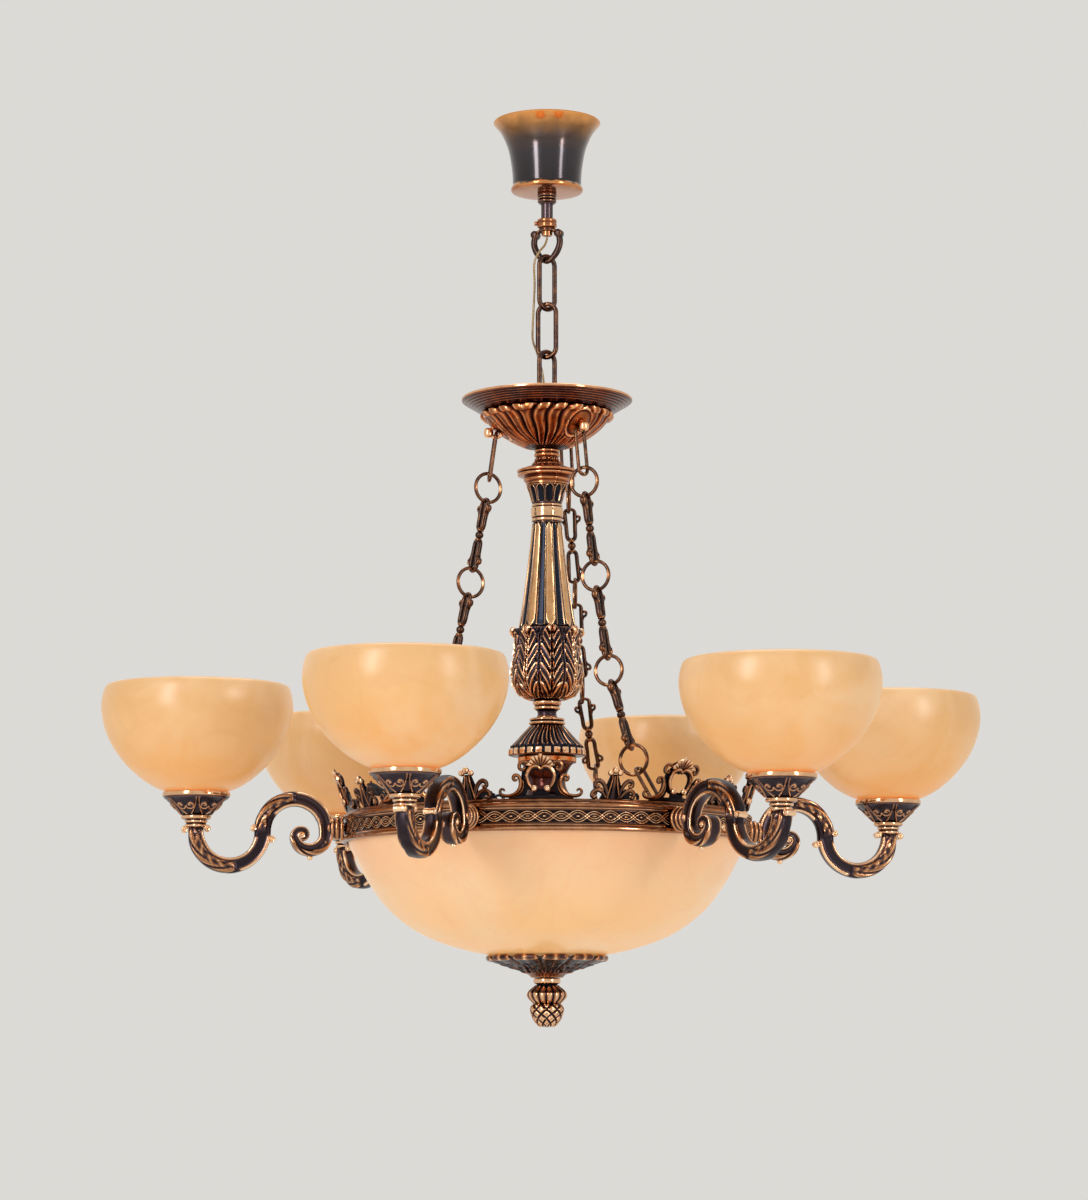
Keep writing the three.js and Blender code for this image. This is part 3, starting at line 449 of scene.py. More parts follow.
def turned(name, outline, sides, step, relief=None, inner=None, rounds=3, sharp=45):
    """Spins an outline that runs from top to bottom, and lifts it by a relief in millimetres. A relief may
    also say how far each point is polished. inner brings the shape back up the inside. Without it both ends
    close on the axis."""
    line = paced(rounded(outline, rounds), step)
    run = unit(np.gradient(line, axis=0))
    turn = np.linspace(0, 2 * math.pi, sides, endpoint=False)[None, :]
    drop = line[0, 1] - line[:, 1:]
    radius = line[:, :1]
    lift = relief(drop, turn, radius) if relief else 0.0
    if isinstance(lift, tuple):
        lift, shine = lift
    else:
        shine = lift / (np.abs(lift).max() or 1) if relief else 0.5
    lift = np.broadcast_to(lift, (len(line), sides))
    shine = np.broadcast_to(shine, (len(line), sides))
    out = radius - run[:, 1:] * lift
    up = line[:, 1:] + run[:, :1] * lift
    rows = np.stack([out * np.cos(turn), out * np.sin(turn), up], -1)
    if inner is None:
        rows = capped(rows, (0, 0, line[0, 1]), (0, 0, line[-1, 1]))
        shine = np.vstack([shine[:1], shine, shine[-1:]])
    else:
        around = np.stack([np.cos(turn[0]), np.sin(turn[0])], -1)
        inside = np.stack([np.column_stack([around * r, np.full(sides, z)]) for r, z in inner])
        rows = np.vstack([rows, inside])
        shine = np.vstack([shine, np.full((len(inner), sides), 0.3)])
    return skin(name, rows, closed_rows=inner is not None, shine=shine, sharp=sharp)


def moved(piece, x=0.0, y=0.0, z=0.0):
    """Moves a piece by millimetres."""
    piece.data.transform(Matrix.Translation((x * mm, y * mm, z * mm)))
    return piece


def swung(piece, degrees, axis="Z"):
    """Turns a piece about an axis through the origin."""
    piece.data.transform(Matrix.Rotation(math.radians(degrees), 4, axis))
    return piece


def marked(piece, level):
    """Gives a whole form one level of polish."""
    store_polish(piece.data, level)
    return piece


def read(items, name, width=1):
    """What a mesh's items hold under one name. Where that is several numbers, each item has a row."""
    found = np.empty(len(items) * width)
    items.foreach_get(name, found)
    return found.reshape(-1, width) if width > 1 else found


def weathered(piece, lifted=0.0, passes=2, shift=0.0, bands=()):
    """Marks each point from 0 in a hollow to 1 on a rubbed edge, from how sharply the surface bends there.
    lifted is how much the marked polish counts, and bands are the top and bottom of stretches painted
    bright: polished gilt bands on most pieces, and painted highlights on the ring's mouldings."""
    mesh = piece.data
    count = len(mesh.vertices)
    place = read(mesh.vertices, "co", 3) / mm
    facing = read(mesh.vertex_normals, "vector", 3)
    pairs = np.empty(len(mesh.edges) * 2, np.int32)
    mesh.edges.foreach_get("vertices", pairs)
    a, b = pairs.reshape(-1, 2).T
    apart = place[a] - place[b]
    bend = ((facing[a] - facing[b]) * apart).sum(1) / ((apart ** 2).sum(1) + 1e-4)
    degree = np.maximum(np.bincount(a, minlength=count) + np.bincount(b, minlength=count), 1)
    shape = (np.bincount(a, bend, count) + np.bincount(b, bend, count)) / degree
    for _ in range(passes):
        around = (np.bincount(a, shape[b], count) + np.bincount(b, shape[a], count)) / degree
        shape = 0.5 * shape + 0.5 * around
    rubbed = 0.5 + shift + 0.5 * np.tanh(shape * wear_radius)
    if lifted:
        rubbed = rubbed + lifted * (read(mesh.attributes["polish"].data, "value") - 0.5)
    for high, low in bands:
        rubbed = np.maximum(rubbed, band_polish_and_highlight * window(-place[:, 2], -high, -low, 0.8))
    wear = mesh.attributes.new("rubbed", "FLOAT", "POINT")
    wear.data.foreach_set("value", np.clip(rubbed, 0, 1).astype(np.float32))
    return piece


def joined(name, pieces):
    """Makes several pieces of one casting a single mesh."""
    work = bmesh.new()
    for piece in pieces:
        work.from_mesh(piece.data)
    mesh = bpy.data.meshes.new(name)
    work.to_mesh(mesh)
    work.free()
    for piece in pieces:
        bpy.data.objects.remove(piece)
    mesh.set_sharp_from_angle(angle=math.radians(45))
    return added(name, mesh)


def patina(name, hollow, body, rubbed, bright, rough):
    """Patinated brass: dark in the hollows, rubbed back to bright metal on edges and high places, with a
    mottle that is drawn coarser than the real one so that it shows."""
    material, tree, place = blank_material(name)
    wear = node(tree, "ShaderNodeAttribute", attribute_name="rubbed").outputs["Fac"]
    mottle = reckoned(tree, "MULTIPLY_ADD", noise(tree, place, 8 * patina_grain, 6.0), 0.22, -0.11)
    level = reckoned(tree, "ADD", wear, mottle)
    colour = toned(tree, level, (0.2, hollow), (0.5, body), (0.72, rubbed), (0.92, bright))
    gloss = ranged(tree, level, *rough, start=0.25, end=0.85)
    pitted = node(tree, "ShaderNodeBump", {"Height": noise(tree, place, patina_grain, 3.0), "Strength": 0.12,
                                           "Distance": 0.15 * mm})
    return finished(material, {"Base Color": colour, "Roughness": gloss, "Normal": pitted.outputs["Normal"],
                               "Metallic": 1.0})


antique_bronze = patina("antique_bronze", "#1f1b20", "#47352f", "#b5774a", "#f8cba0", (0.32, 0.16))
rubbed_gilt = patina("rubbed_gilt", "#341e1a", "#935738", "#d69466", "#ffd3a8", (0.28, 0.13))
dark_patina = patina("polished_dark_patina", "#131219", "#46404a", "#8f6a52", "#e0b07c", (0.3, 0.18))

stem_top, stem_bottom = heights("stem")
collar_middle = stem_bottom + stem_collar_height - 5
stem_tube = turned("stem_tube", [
    (stem_radius, stem_top), (stem_radius, stem_top), (stem_radius, collar_middle),
    (stem_radius, collar_middle),
], 48, 3, inner=[(lead_bore, collar_middle), (lead_bore, stem_top)])
collar_top = stem_bottom + stem_collar_height
stem_collar = turned("stem_collar", [
    (stem_radius, collar_top), (stem_collar_radius - 1.5, collar_top),
    (stem_collar_radius, collar_top - 0.6), (stem_collar_radius, collar_top - 3),
    (stem_collar_radius - 0.8, collar_top - 4), (stem_collar_radius, collar_top - 5),
    (stem_collar_radius, collar_top - 9), (9.6, collar_top - 10), (stem_neck_radius, collar_top - 10),
    (stem_neck_radius, stem_bottom + 5.2), (loop_nut_radius, stem_bottom + 5.2),
    (loop_nut_radius, stem_bottom + 5), (loop_nut_radius, stem_bottom + 0.4),
    (loop_nut_radius - 0.6, stem_bottom), (lead_bore, stem_bottom),
], 56, 0.5, inner=[(lead_bore, stem_bottom + 1), (lead_bore, collar_top)], rounds=2)
set_screw = turned("set_screw", [
    (0.6, 14.4), (1.9, 14.4), (2.4, 13.9), (2.4, 11.6), (2.4, 11.4), (2.0, 10.8), (2.0, 9),
], 24, 0.4)
moved(swung(set_screw, -90, "Y"), z=collar_top - 5)
placed(weathered(stem_tube), dark_patina, "ceiling", "stem")
stem_collar = weathered(joined("stem_collar_and_screw", [stem_collar, set_screw]))
placed(stem_collar, rubbed_gilt, "ceiling", "stem")


# Canopy: brass spun to a bell and polished, lacquered blue-black on its sides and left gold on the flare
# and the rolled bead. It slides down the stem.
canopy_radius = 60.3
canopy_wall = 2
canopy_shares = [
    (0.975, 0), (1, 0.006), (1, 0.02), (0.95, 0.06), (0.86, 0.14), (0.77, 0.28), (0.71, 0.41), (0.665, 0.6),
    (0.642, 0.75), (0.638, 0.88), (0.638, 0.905), (0.65, 0.915), (0.672, 0.93), (0.672, 0.96), (0.655, 0.978),
    (0.62, 0.985), (0.5, 0.995), (0.3, 1), (0.115, 1),
]


def outlined(name, radius, shares):
    """An outline in millimetres from shares of a radius and of a node's height, from its top."""
    top, bottom = heights(name)
    return [(r * radius, top - d * (top - bottom)) for r, d in shares]


def within(outline, wall, rounds=3, step=2.0):
    """The inside of a shell: the outline moved in by its wall, from bottom to top."""
    line = paced(rounded(outline, rounds), step)
    run = unit(np.gradient(line, axis=0))
    inside = np.column_stack([line[:, 0] + run[:, 1] * wall, line[:, 1] - run[:, 0] * wall])
    inside[0] = (line[0, 0] - wall, line[0, 1])
    return inside[::-1]


def lacquered_canopy():
    """Spun brass under dark lacquer that thins to gold at the flare and the bead, with fine upright streaks
    left by the polishing wheel."""
    material, tree, place = blank_material("lacquered_spun_brass")
    up = node(tree, "ShaderNodeSeparateXYZ", {0: place}).outputs["Z"]
    drift = reckoned(tree, "MULTIPLY_ADD", noise(tree, place, 16.7, 5.0), 0.014, up)
    height = ranged(tree, drift, 0.0, 1.0, start=-0.0755, end=0.006)
    colour = toned(tree, height, (0.02, "#c07a48"), (0.07, "#e09a5e"), (0.1, "#3b3638"), (0.5, "#474245"),
                   (0.7, "#5c4c46"), (0.84, "#96693f"), (0.98, "#eba35c"))
    streak = node(tree, "ShaderNodeMapping", {"Vector": place, "Scale": (0.9, 0.9, 0.012)})
    rough = ranged(tree, noise(tree, streak.outputs[0], 1), 0.1, 0.24)
    return finished(material, {"Base Color": colour, "Roughness": rough, "Metallic": 1.0, "Coat Weight": 0.3,
                               "Coat Roughness": 0.06})


canopy_outline = outlined("canopy", canopy_radius, canopy_shares)
canopy = turned("canopy_bell", canopy_outline, 128, 1.2, inner=within(canopy_outline, canopy_wall)[3:])
placed(canopy, lacquered_canopy(), "canopy", "canopy")


# Canopy nut: a turned brass ring with two grooves, dark patina rubbed bright on its ridges.
canopy_nut_radius = 10.9
canopy_nut_shares = [
    (0.95, 0), (1, 0.06), (1, 0.26), (0.9, 0.3), (0.9, 0.38), (1, 0.42), (1, 0.5), (0.86, 0.55), (0.86, 0.62),
    (0.98, 0.67), (0.98, 0.78), (0.9, 0.86), (0.78, 0.96), (0.75, 1),
]
nut_top, nut_bottom = heights("canopy_nut")
canopy_nut = turned("canopy_ring_nut", outlined("canopy_nut", canopy_nut_radius, canopy_nut_shares), 72, 0.35,
                    inner=[(7, nut_bottom), (7, nut_top)], rounds=2)
placed(weathered(canopy_nut), dark_patina, "canopy", "canopy_nut")


# Hanging loop: two cast brass straps that meet in a point, riveted under a plate on the stem's neck.
loop_half_width = 16.3
loop_strap_width = 8
loop_wire = 5.5
loop_plate_thickness = 3.4
loop_rivet_radius = 4.6
loop_rivet_half = 5.4
loop_rivet_drop = 5
loop_thick_at = [0, 0.3, 0.7, 1]
loop_thick = [loop_wire, 7.6, 7.2, loop_plate_thickness]
loop_turn = -30
loop_drop = 36.3
loop_shares = [(0.4, 0), (0.8, 0.1), (1, 0.38), (0.8, 0.68), (0.33, 0.94), (0, 1)]


def scroll(width, drop, shares):
    """A path down the right side, from shares of a half width and a drop, and up its mirror image."""
    right = [(x * width, 0, z * drop) for x, z in shares]
    left = [(-x, 0, z) for x, _, z in right[-2::-1]]
    return np.array(right + left)


def rivet(radius, depth, height, crown):
    """A turned rivet head along Z with a domed, milled edge."""
    def milled(drop, turn, out):
        return 0.18 * np.cos(24 * turn) * (out > radius * 0.9)

    return turned("rivet", [
        (0.2, depth), (radius * 0.45, depth), (radius * 0.8, depth - crown), (radius, depth - 2 * crown),
        (radius, height), (radius * 0.8, height), (0.2, height),
    ], 48, 0.35, relief=milled)


plate_top = heights("hanging_loop")[0]
loop_middle = plate_top - loop_plate_thickness / 2
loop_line = scroll(loop_half_width, -loop_drop, loop_shares)
loop_line[:, 2] += loop_middle
loop_path = paced(np.vstack([rounded(loop_line[:6], 3), rounded(loop_line[5:], 3)[1:]]), 0.7)
upness = np.abs(np.linspace(-1, 1, len(loop_path)))
loop_size = np.column_stack([np.interp(upness, loop_thick_at, loop_thick),
                             loop_wire + (loop_strap_width - loop_wire) * upness ** 0.6])
straps = tube("straps", loop_path, loop_size, 24)
plate = turned("plate", [
    (8.4, plate_top), (9, plate_top - 0.3), (9, plate_top - 3.1), (8.4, plate_top - 3.4),
    (5, plate_top - 3.4),
], 48, 0.4, inner=[(4.9, plate_top - 3.4), (4.9, plate_top)], rounds=2)
heads = []
for way in (-1, 1):
    head = swung(rivet(loop_rivet_radius, loop_rivet_half, -loop_rivet_half, 0.6), 90, "X")
    heads.append(moved(head, x=way * loop_half_width * 0.86, z=loop_middle - loop_rivet_drop))
hanging_loop = swung(joined("loop_straps", [straps, plate] + heads), loop_turn)
placed(weathered(hanging_loop, shift=-0.1), antique_bronze, "ceiling", "hanging_loop")


# Chain links: three ovals of round brass wire, bent cold and brazed, each turned against the last. One tree
# of geometry nodes draws every oval, ring and eye of the light from its length, width and wire.
link_length = 60.5
link_width = 21.5
link_wire = 5.5
link_turn = 30


def shape_tree(name, **inputs):
    """A new tree of geometry nodes with named inputs, and the sockets that give them."""
    tree = bpy.data.node_groups.new(name, "GeometryNodeTree")
    tree.interface.new_socket("Geometry", in_out="OUTPUT", socket_type="NodeSocketGeometry")
    for key, kind in inputs.items():
        tree.interface.new_socket(key, in_out="INPUT", socket_type=f"NodeSocket{kind}")
    return tree, node(tree, "NodeGroupInput").outputs


def shape_end(tree, geometry, finish):
    """The end of a tree: every copy made real, and dressed in a material."""
    plain = node(tree, "GeometryNodeRealizeInstances", {0: geometry})
    dressed = node(tree, "GeometryNodeSetMaterial", {"Geometry": plain.outputs[0], "Material": finish})
    node(tree, "NodeGroupOutput", {0: dressed.outputs[0]})
    return tree


def wire_tree():
    """Geometry nodes: a rounded rectangle of wire, made a mesh with a round section."""
    tree, given = shape_tree("bent_wire", Length="Float", Width="Float", Wire="Float", Finish="Material")
    outline = node(tree, "GeometryNodeCurvePrimitiveQuadrilateral", {"Width": given["Width"],
                                                                     "Height": given["Length"]})
    corner = reckoned(tree, "MULTIPLY", given["Width"], 0.4999)
    bent = node(tree, "GeometryNodeFilletCurve", {"Curve": outline.outputs[0], "Radius": corner, "Count": 10},
                mode="POLY")
    half_wire = reckoned(tree, "MULTIPLY", given["Wire"], 0.5)
    section = node(tree, "GeometryNodeCurvePrimitiveCircle", {"Resolution": 16, "Radius": half_wire})
    body = node(tree, "GeometryNodeCurveToMesh", {0: bent.outputs[0], 1: section.outputs[0]})
    return shape_end(tree, body.outputs[0], given["Finish"])


def made_by(tree, name, source=None, **inputs):
    """Runs a tree of geometry nodes and keeps its result as a plain mesh."""
    piece = added(name, source if source else bpy.data.meshes.new(name))
    run = piece.modifiers.new("shape", "NODES")
    run.node_group = tree
    for item in tree.interface.items_tree:
        if item.in_out == "INPUT" and item.name in inputs:
            run[item.identifier] = inputs[item.name]
    settled(piece).data.name = name
    cleaned(piece.data)
    return piece


def wire_piece(name, length, width, wire, finish):
    """A link of bent wire that hangs from the origin in the XZ plane, by the middle of its wire."""
    piece = made_by(bent_wire, name, Length=length * mm, Width=width * mm, Wire=wire * mm, Finish=finish)
    moved(swung(piece, 90, "X"), z=-length / 2)
    if sum(f.normal.dot(f.center - Vector((0, 0, -length / 2 * mm))) for f in piece.data.polygons) < 0:
        piece.data.flip_normals()
    return piece


bent_wire = wire_tree()
for i in range(3):
    node_name = f"chain_link_{i + 1}"
    link_top = heights(node_name)[0] - link_wire / 2
    link = wire_piece(f"link_{i + 1}_wire", link_length, link_width, link_wire, antique_bronze)
    weathered(moved(swung(link, -link_turn if i % 2 else link_turn), z=link_top), shift=-0.09)
    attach(link, f"link_{i + 1}")
    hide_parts(node_name)


# Centre rod: a steel rod with an eye forged on its top. It hangs on the last link and carries the castings.
rod_radius = 5
rod_eye_radius = 9.25
rod_eye_turn = -30
rod_top, rod_bottom = heights("centre_rod")
rod_start = rod_top - link_wire / 2 - 2 * rod_eye_radius


def threads(drop, turn, radius):
    """A screw thread below a plain neck."""
    return 0.25 * np.sin(2 * math.pi * drop / 1.5 - turn) * (drop > 4)


eye = wire_piece("rod_eye", 2 * rod_eye_radius, 2 * rod_eye_radius, link_wire, steel)
moved(swung(eye, rod_eye_turn), z=rod_top - link_wire / 2)
rod = turned("rod_thread", [
    (rod_radius - 0.3, rod_start), (rod_radius - 0.3, rod_start), (rod_radius - 0.3, rod_bottom),
    (rod_radius - 0.3, rod_bottom),
], 20, 0.75, relief=threads)
centre_rod = weathered(joined("eye_rod", [eye, rod]))
placed(centre_rod, steel, "light", "centre_rod")


# Top dish: brass spun over a former, with five fine steps in a dark cove inside its rolled gold edge.
dish_radius = 95.3
dish_steps = 5
dish_edge_shares = [(0.975, 0), (0.995, 0.01), (1, 0.05), (1, 0.12), (0.985, 0.165), (0.975, 0.172)]
dish_seat_shares = [
    (0.785, 0.6), (0.768, 0.615), (0.768, 0.64), (0.74, 0.64), (0.4, 0.64), (0.336, 0.64), (0.336, 0.7),
    (0.336, 0.96), (0.32, 1), (0.2, 1), (0.06, 1),
]
dish_over_shares = [(0.06, 0.92), (0.31, 0.92), (0.315, 0.56), (0.74, 0.56), (0.85, 0.27), (0.95, 0.03)]

dish_step_shares = []
for i in range(dish_steps):
    out = 0.966 - 0.035 * i
    down = 0.185 + 0.08 * i
    dish_step_shares += [(out, down), (out, down + 0.035)]
    dish_step_shares += [(out - 0.008, down + 0.045), (out - 0.022, down + 0.05)]
dish_patina = patina("spun_dark_patina", "#1b1216", "#41272b", "#b8724a", "#ffc696", (0.26, 0.13))
dish_shares = dish_edge_shares + dish_step_shares + dish_seat_shares
dish = turned("spun_dish", outlined("top_dish", dish_radius, dish_shares), 168, 0.6,
              inner=outlined("top_dish", dish_radius, dish_over_shares), rounds=2)
dish_top = heights("top_dish")[0]
placed(weathered(dish, bands=[(dish_top + 1, dish_top - 3.2)]), dish_patina, "light", "top_dish")


# Dish boss: a cast brass basket of leaning leaf flutes, with a framed dome over each of three chain eyes.
boss_radius = 71
bore_radius = 5.3
hook_reach = 58
hook_drop = 29
hook_lean = 8
hook_ring_radius = 6
hook_wire = 4
chain_angles = (60, 180, 300)
boss_shares = [
    (0.9, 0), (0.985, 0.01), (1, 0.05), (0.995, 0.1), (0.95, 0.14), (0.93, 0.2), (0.86, 0.36), (0.74, 0.54),
    (0.6, 0.7), (0.46, 0.83), (0.34, 0.92), (0.29, 0.95), (0.25, 0.96), (0.234, 1), (0.08, 1),
]
boss_depth = 41
flutes_in_sector = 4
dome_radius = 14.5
hook_ball_radius = 5.4
hook_ball_reach = 8.4
hook_ball_drop = 1


def repeat(turn, count, shift=0.0):
    """Runs from −1 to 1 across each of count repeats round the axis, nought in its middle."""
    return np.mod(turn * count / (2 * math.pi) + 0.5 + shift, 1) * 2 - 1


def bump(distance, width):
    """A smooth round bump."""
    return np.exp(-(distance / width) ** 2)


def boss_relief(drop, turn, radius):
    """Leaf flutes that lean away from the middle of each third, and a smooth framed dome over each eye."""
    share = drop / boss_depth
    sector = repeat(turn, 3)
    lean = 0.8 * (share + 0.2 * np.sin(2 * math.pi * share))
    phase = flutes_in_sector * np.abs(sector) + 1.5 * lean
    flute = np.abs(np.sin(math.pi * phase)) ** 0.6
    lip = np.abs(np.sin(2 * math.pi * phase)) ** 4
    curl = 2.6 * bump(share - 0.09, 0.07) * flute
    inside = window(share, 0.03, 0.93, 0.06)
    lift = (3.2 * flute - 1.6 + 0.6 * lip + curl) * inside
    shine = 0.08 + (0.42 * flute + 0.4 * lip + 0.1 * bump(share - 0.09, 0.06) * flute) * inside
    aside = (1 - np.abs(sector)) * math.pi / 3 * radius
    along = (share - 0.42) * 46
    away = np.sqrt(aside ** 2 + along ** 2)
    frame_line = bump(away - dome_radius, 1.3)
    shell = window(away, -1, 16, 1.5)
    dome = 3.2 * np.clip(1 - (away / 13.5) ** 2, 0, 1) ** 0.6 + 2.2 * frame_line
    polish = 0.6 + 0.36 * frame_line - 0.5 * bump(away - 12.4, 0.8)
    return lift * (1 - shell) + dome * shell, shine * (1 - shell) + polish * shell


copper_patina = patina("coppered_dark_patina", "#271113", "#713824", "#c07240", "#ffc898", (0.34, 0.15))
boss_top, boss_bottom = heights("dish_boss")
boss_outline = outlined("dish_boss", boss_radius, boss_shares)
boss_inside = [
    (bore_radius, boss_bottom + 4), (20, boss_bottom + 5), (40, boss_bottom + 14), (64, boss_top - 5),
    (65, boss_top),
]
basket = turned("basket", boss_outline, 324, 0.8, relief=boss_relief, inner=boss_inside)
eyes = []
for angle in chain_angles:
    lean = math.radians(hook_lean)
    ring = wire_piece("eye", 2 * hook_ring_radius, 2 * hook_ring_radius, hook_wire, copper_patina)
    centre_x = hook_reach - math.sin(lean) * hook_ring_radius
    centre_z = boss_top - hook_drop + math.cos(lean) * hook_ring_radius
    swung(moved(ring, x=centre_x, z=centre_z + hook_ring_radius), angle)
    ball = turned("ball", [
        (0.2, hook_ball_radius), (3.2, 5.2), (hook_ball_radius, 3.1), (hook_ball_radius, -3.1), (3.2, -5.2),
        (0.2, -hook_ball_radius),
    ], 28, 0.5)
    swung(moved(ball, x=centre_x + hook_ball_reach, z=centre_z - hook_ball_drop), angle)
    eyes += [marked(ring, 0.85), marked(ball, 0.95)]
dish_boss = weathered(joined("fluted_boss", [basket] + eyes), lifted=0.75)
placed(dish_boss, copper_patina, "light", "dish_boss")


# Capital: cast brass, gilt on its beads and mouldings, with eight square panels on the throat.
capital_radius = 33.7
capital_shares = [
    (0.3, 0), (0.4, 0.005), (0.415, 0.03), (0.415, 0.07), (0.375, 0.095), (0.375, 0.11), (0.42, 0.125),
    (0.435, 0.16), (0.42, 0.205), (0.37, 0.225), (0.36, 0.25), (0.38, 0.33), (0.45, 0.43), (0.58, 0.51),
    (0.78, 0.56), (0.93, 0.58), (0.985, 0.59), (1, 0.62), (0.985, 0.655), (0.94, 0.665), (0.94, 0.69),
    (0.975, 0.7), (0.985, 0.73), (0.96, 0.76), (0.84, 0.775), (0.77, 0.785), (0.75, 0.8), (0.75, 0.82),
    (0.775, 0.835), (0.785, 0.87), (0.76, 0.91), (0.7, 0.925), (0.7, 1),
]
capital_panels = 8
panel_drops = (10.5, 18.5)


def capital_relief(drop, turn, radius):
    """Framed panels with a motif in each, and small leaf tips on the flare."""
    across = np.abs(repeat(turn, capital_panels))
    panel = window(drop, *panel_drops, 1)
    border = bump(across - 0.78, 0.1)
    border = border + bump(drop - panel_drops[0] - 1.1, 0.5) + bump(drop - panel_drops[1] + 1.1, 0.5)
    motif = bump(across - 0.32, 0.14) * window(drop, 12.5, 16.5, 1) + 1.2 * bump(across, 0.12)
    tips = np.abs(np.cos(capital_panels * turn)) * window(drop, 19, 22.6, 1.2)
    lines = np.clip(border + 0.8 * motif, 0, 1.2)
    return 1.2 * panel * lines + 1.1 * tips, 0.6 + panel * (0.45 * lines - 0.6) + 0.3 * tips


def bored(name, source, radius, shares, sides, step, relief=None, rounds=2):
    """A turned casting with a bore for the centre rod."""
    top, bottom = heights(source)
    return turned(name, outlined(source, radius, shares), sides, step, relief=relief,
                  inner=[(bore_radius, bottom), (bore_radius, top)], rounds=rounds)


capital = bored("capital_casting", "capital", capital_radius, capital_shares, 216, 0.5, capital_relief)
placed(weathered(capital, lifted=0.6), rubbed_gilt, "light", "capital")


# Column neck: cast brass with twelve round-headed flutes in blue-black patina, over a gilt band and ring.
neck_radius = 22.7
neck_flutes = 12
neck_flute_foot = 20.6
neck_shares = [
    (0.9, 0), (0.99, 0.005), (1, 0.02), (0.97, 0.06), (0.86, 0.2), (0.77, 0.38), (0.725, 0.48),
    (0.72, 0.515), (0.755, 0.53), (0.755, 0.56), (0.72, 0.57), (0.72, 0.595), (0.775, 0.6), (0.79, 0.615),
    (0.79, 0.83), (0.775, 0.85), (0.72, 0.855), (0.72, 0.88), (0.755, 0.89), (0.765, 0.92), (0.755, 0.955),
    (0.7, 0.97), (0.7, 1),
]


def neck_relief(drop, turn, radius):
    """Hollow flutes with round heads and fine raised edges."""
    across = np.abs(repeat(turn, neck_flutes))
    head = np.sqrt(np.clip((drop - 1.5) / 4, 0, 1))
    reach = 0.74 * head * np.clip((neck_flute_foot - drop) / 1.5, 0, 1)
    hollow = np.clip((reach - across) / 0.3, 0, 1) ** 0.6
    edge = bump(across - reach - 0.06, 0.07) * (reach > 0.2)
    fluted = window(drop, 0.8, 21, 0.6)
    return (-1.7 * hollow + 0.55 * edge) * fluted, 0.5 + fluted * (0.45 * edge - 0.45 * hollow)


blue_patina = patina("blue_black_patina_on_brass", "#20222c", "#3c3a42", "#bb8056", "#fbcfa2", (0.3, 0.14))
neck_band_drops = [(22, 24.4), (25.4, 36.6), (37.8, 41)]
neck = bored("fluted_neck", "column_neck", neck_radius, neck_shares, 240, 0.5, neck_relief)
neck_top = heights("column_neck")[0]
neck_bands = [(neck_top - high, neck_top - low) for high, low in neck_band_drops]
placed(weathered(neck, lifted=0.7, bands=neck_bands), blue_patina, "light", "column_neck")


# Column shaft: cast brass with eight broad ribs rubbed gold, and blue-black flutes between them.
shaft_radius = 30.7
shaft_ribs = 8
shaft_rib_foot = 117
shaft_shares = [(0.45, 0), (0.5, 0.005), (0.51, 0.02), (0.6, 0.25), (0.72, 0.5), (0.86, 0.78), (0.985, 0.975),
                (0.985, 0.99), (0.9, 1)]


def shaft_relief(drop, turn, radius):
    """Crowned ribs with a bright bead down each edge, rounded at head and foot, and hollow flutes between."""
    across = np.abs(repeat(turn, shaft_ribs))
    ends = np.clip((drop - 0.5) / 5, 0, 1) ** 0.5 * np.clip((shaft_rib_foot - drop) / 7, 0, 1) ** 0.5
    reach = 0.5 * ends
    crown = np.clip((reach - across) / 0.06, 0, 1) * (1.1 - 1.4 * across ** 2)
    bead = 0.9 * bump(across - 0.6, 0.045) * window(drop, 1.5, shaft_rib_foot - 1, 1.5)
    flute = -1.4 * window(across, 0.68, 1.4, 0.12) * np.cos((1 - across) * 1.9) * ends
    shine = 0.08 + 0.72 * np.clip((reach - across) / 0.06, 0, 1) + 0.9 * bump(across - 0.6, 0.05)
    return crown + bead + flute, shine - 0.5 * bump(across - 0.53, 0.03)


shaft_patina = patina("rubbed_brass_over_blue_black", "#262933", "#4a413f", "#d7a16c", "#ffdab0",
                      (0.32, 0.19))
shaft = bored("ribbed_shaft", "column_shaft", shaft_radius, shaft_shares, 256, 1.0, shaft_relief, rounds=3)
placed(weathered(shaft, lifted=0.75), shaft_patina, "light", "column_shaft")


# Leaf vase: cast brass with eight upright acanthus leaves whose tips curl out, over a gilt double ring.
vase_radius = 39.3
vase_leaves = 8
vase_leaf_height = 77
vase_shares = [
    (0.8, 0), (0.93, 0.003), (0.95, 0.02), (0.9, 0.07), (0.87, 0.16), (0.88, 0.26), (0.93, 0.37),
    (0.975, 0.48), (0.96, 0.58), (0.88, 0.67), (0.72, 0.745), (0.52, 0.785), (0.36, 0.795), (0.33, 0.8),
    (0.385, 0.808), (0.405, 0.83), (0.385, 0.855), (0.345, 0.862), (0.34, 0.87), (0.37, 0.88),
    (0.37, 0.905), (0.3, 0.915), (0.265, 0.93), (0.262, 0.965), (0.29, 0.985), (0.29, 1),
]


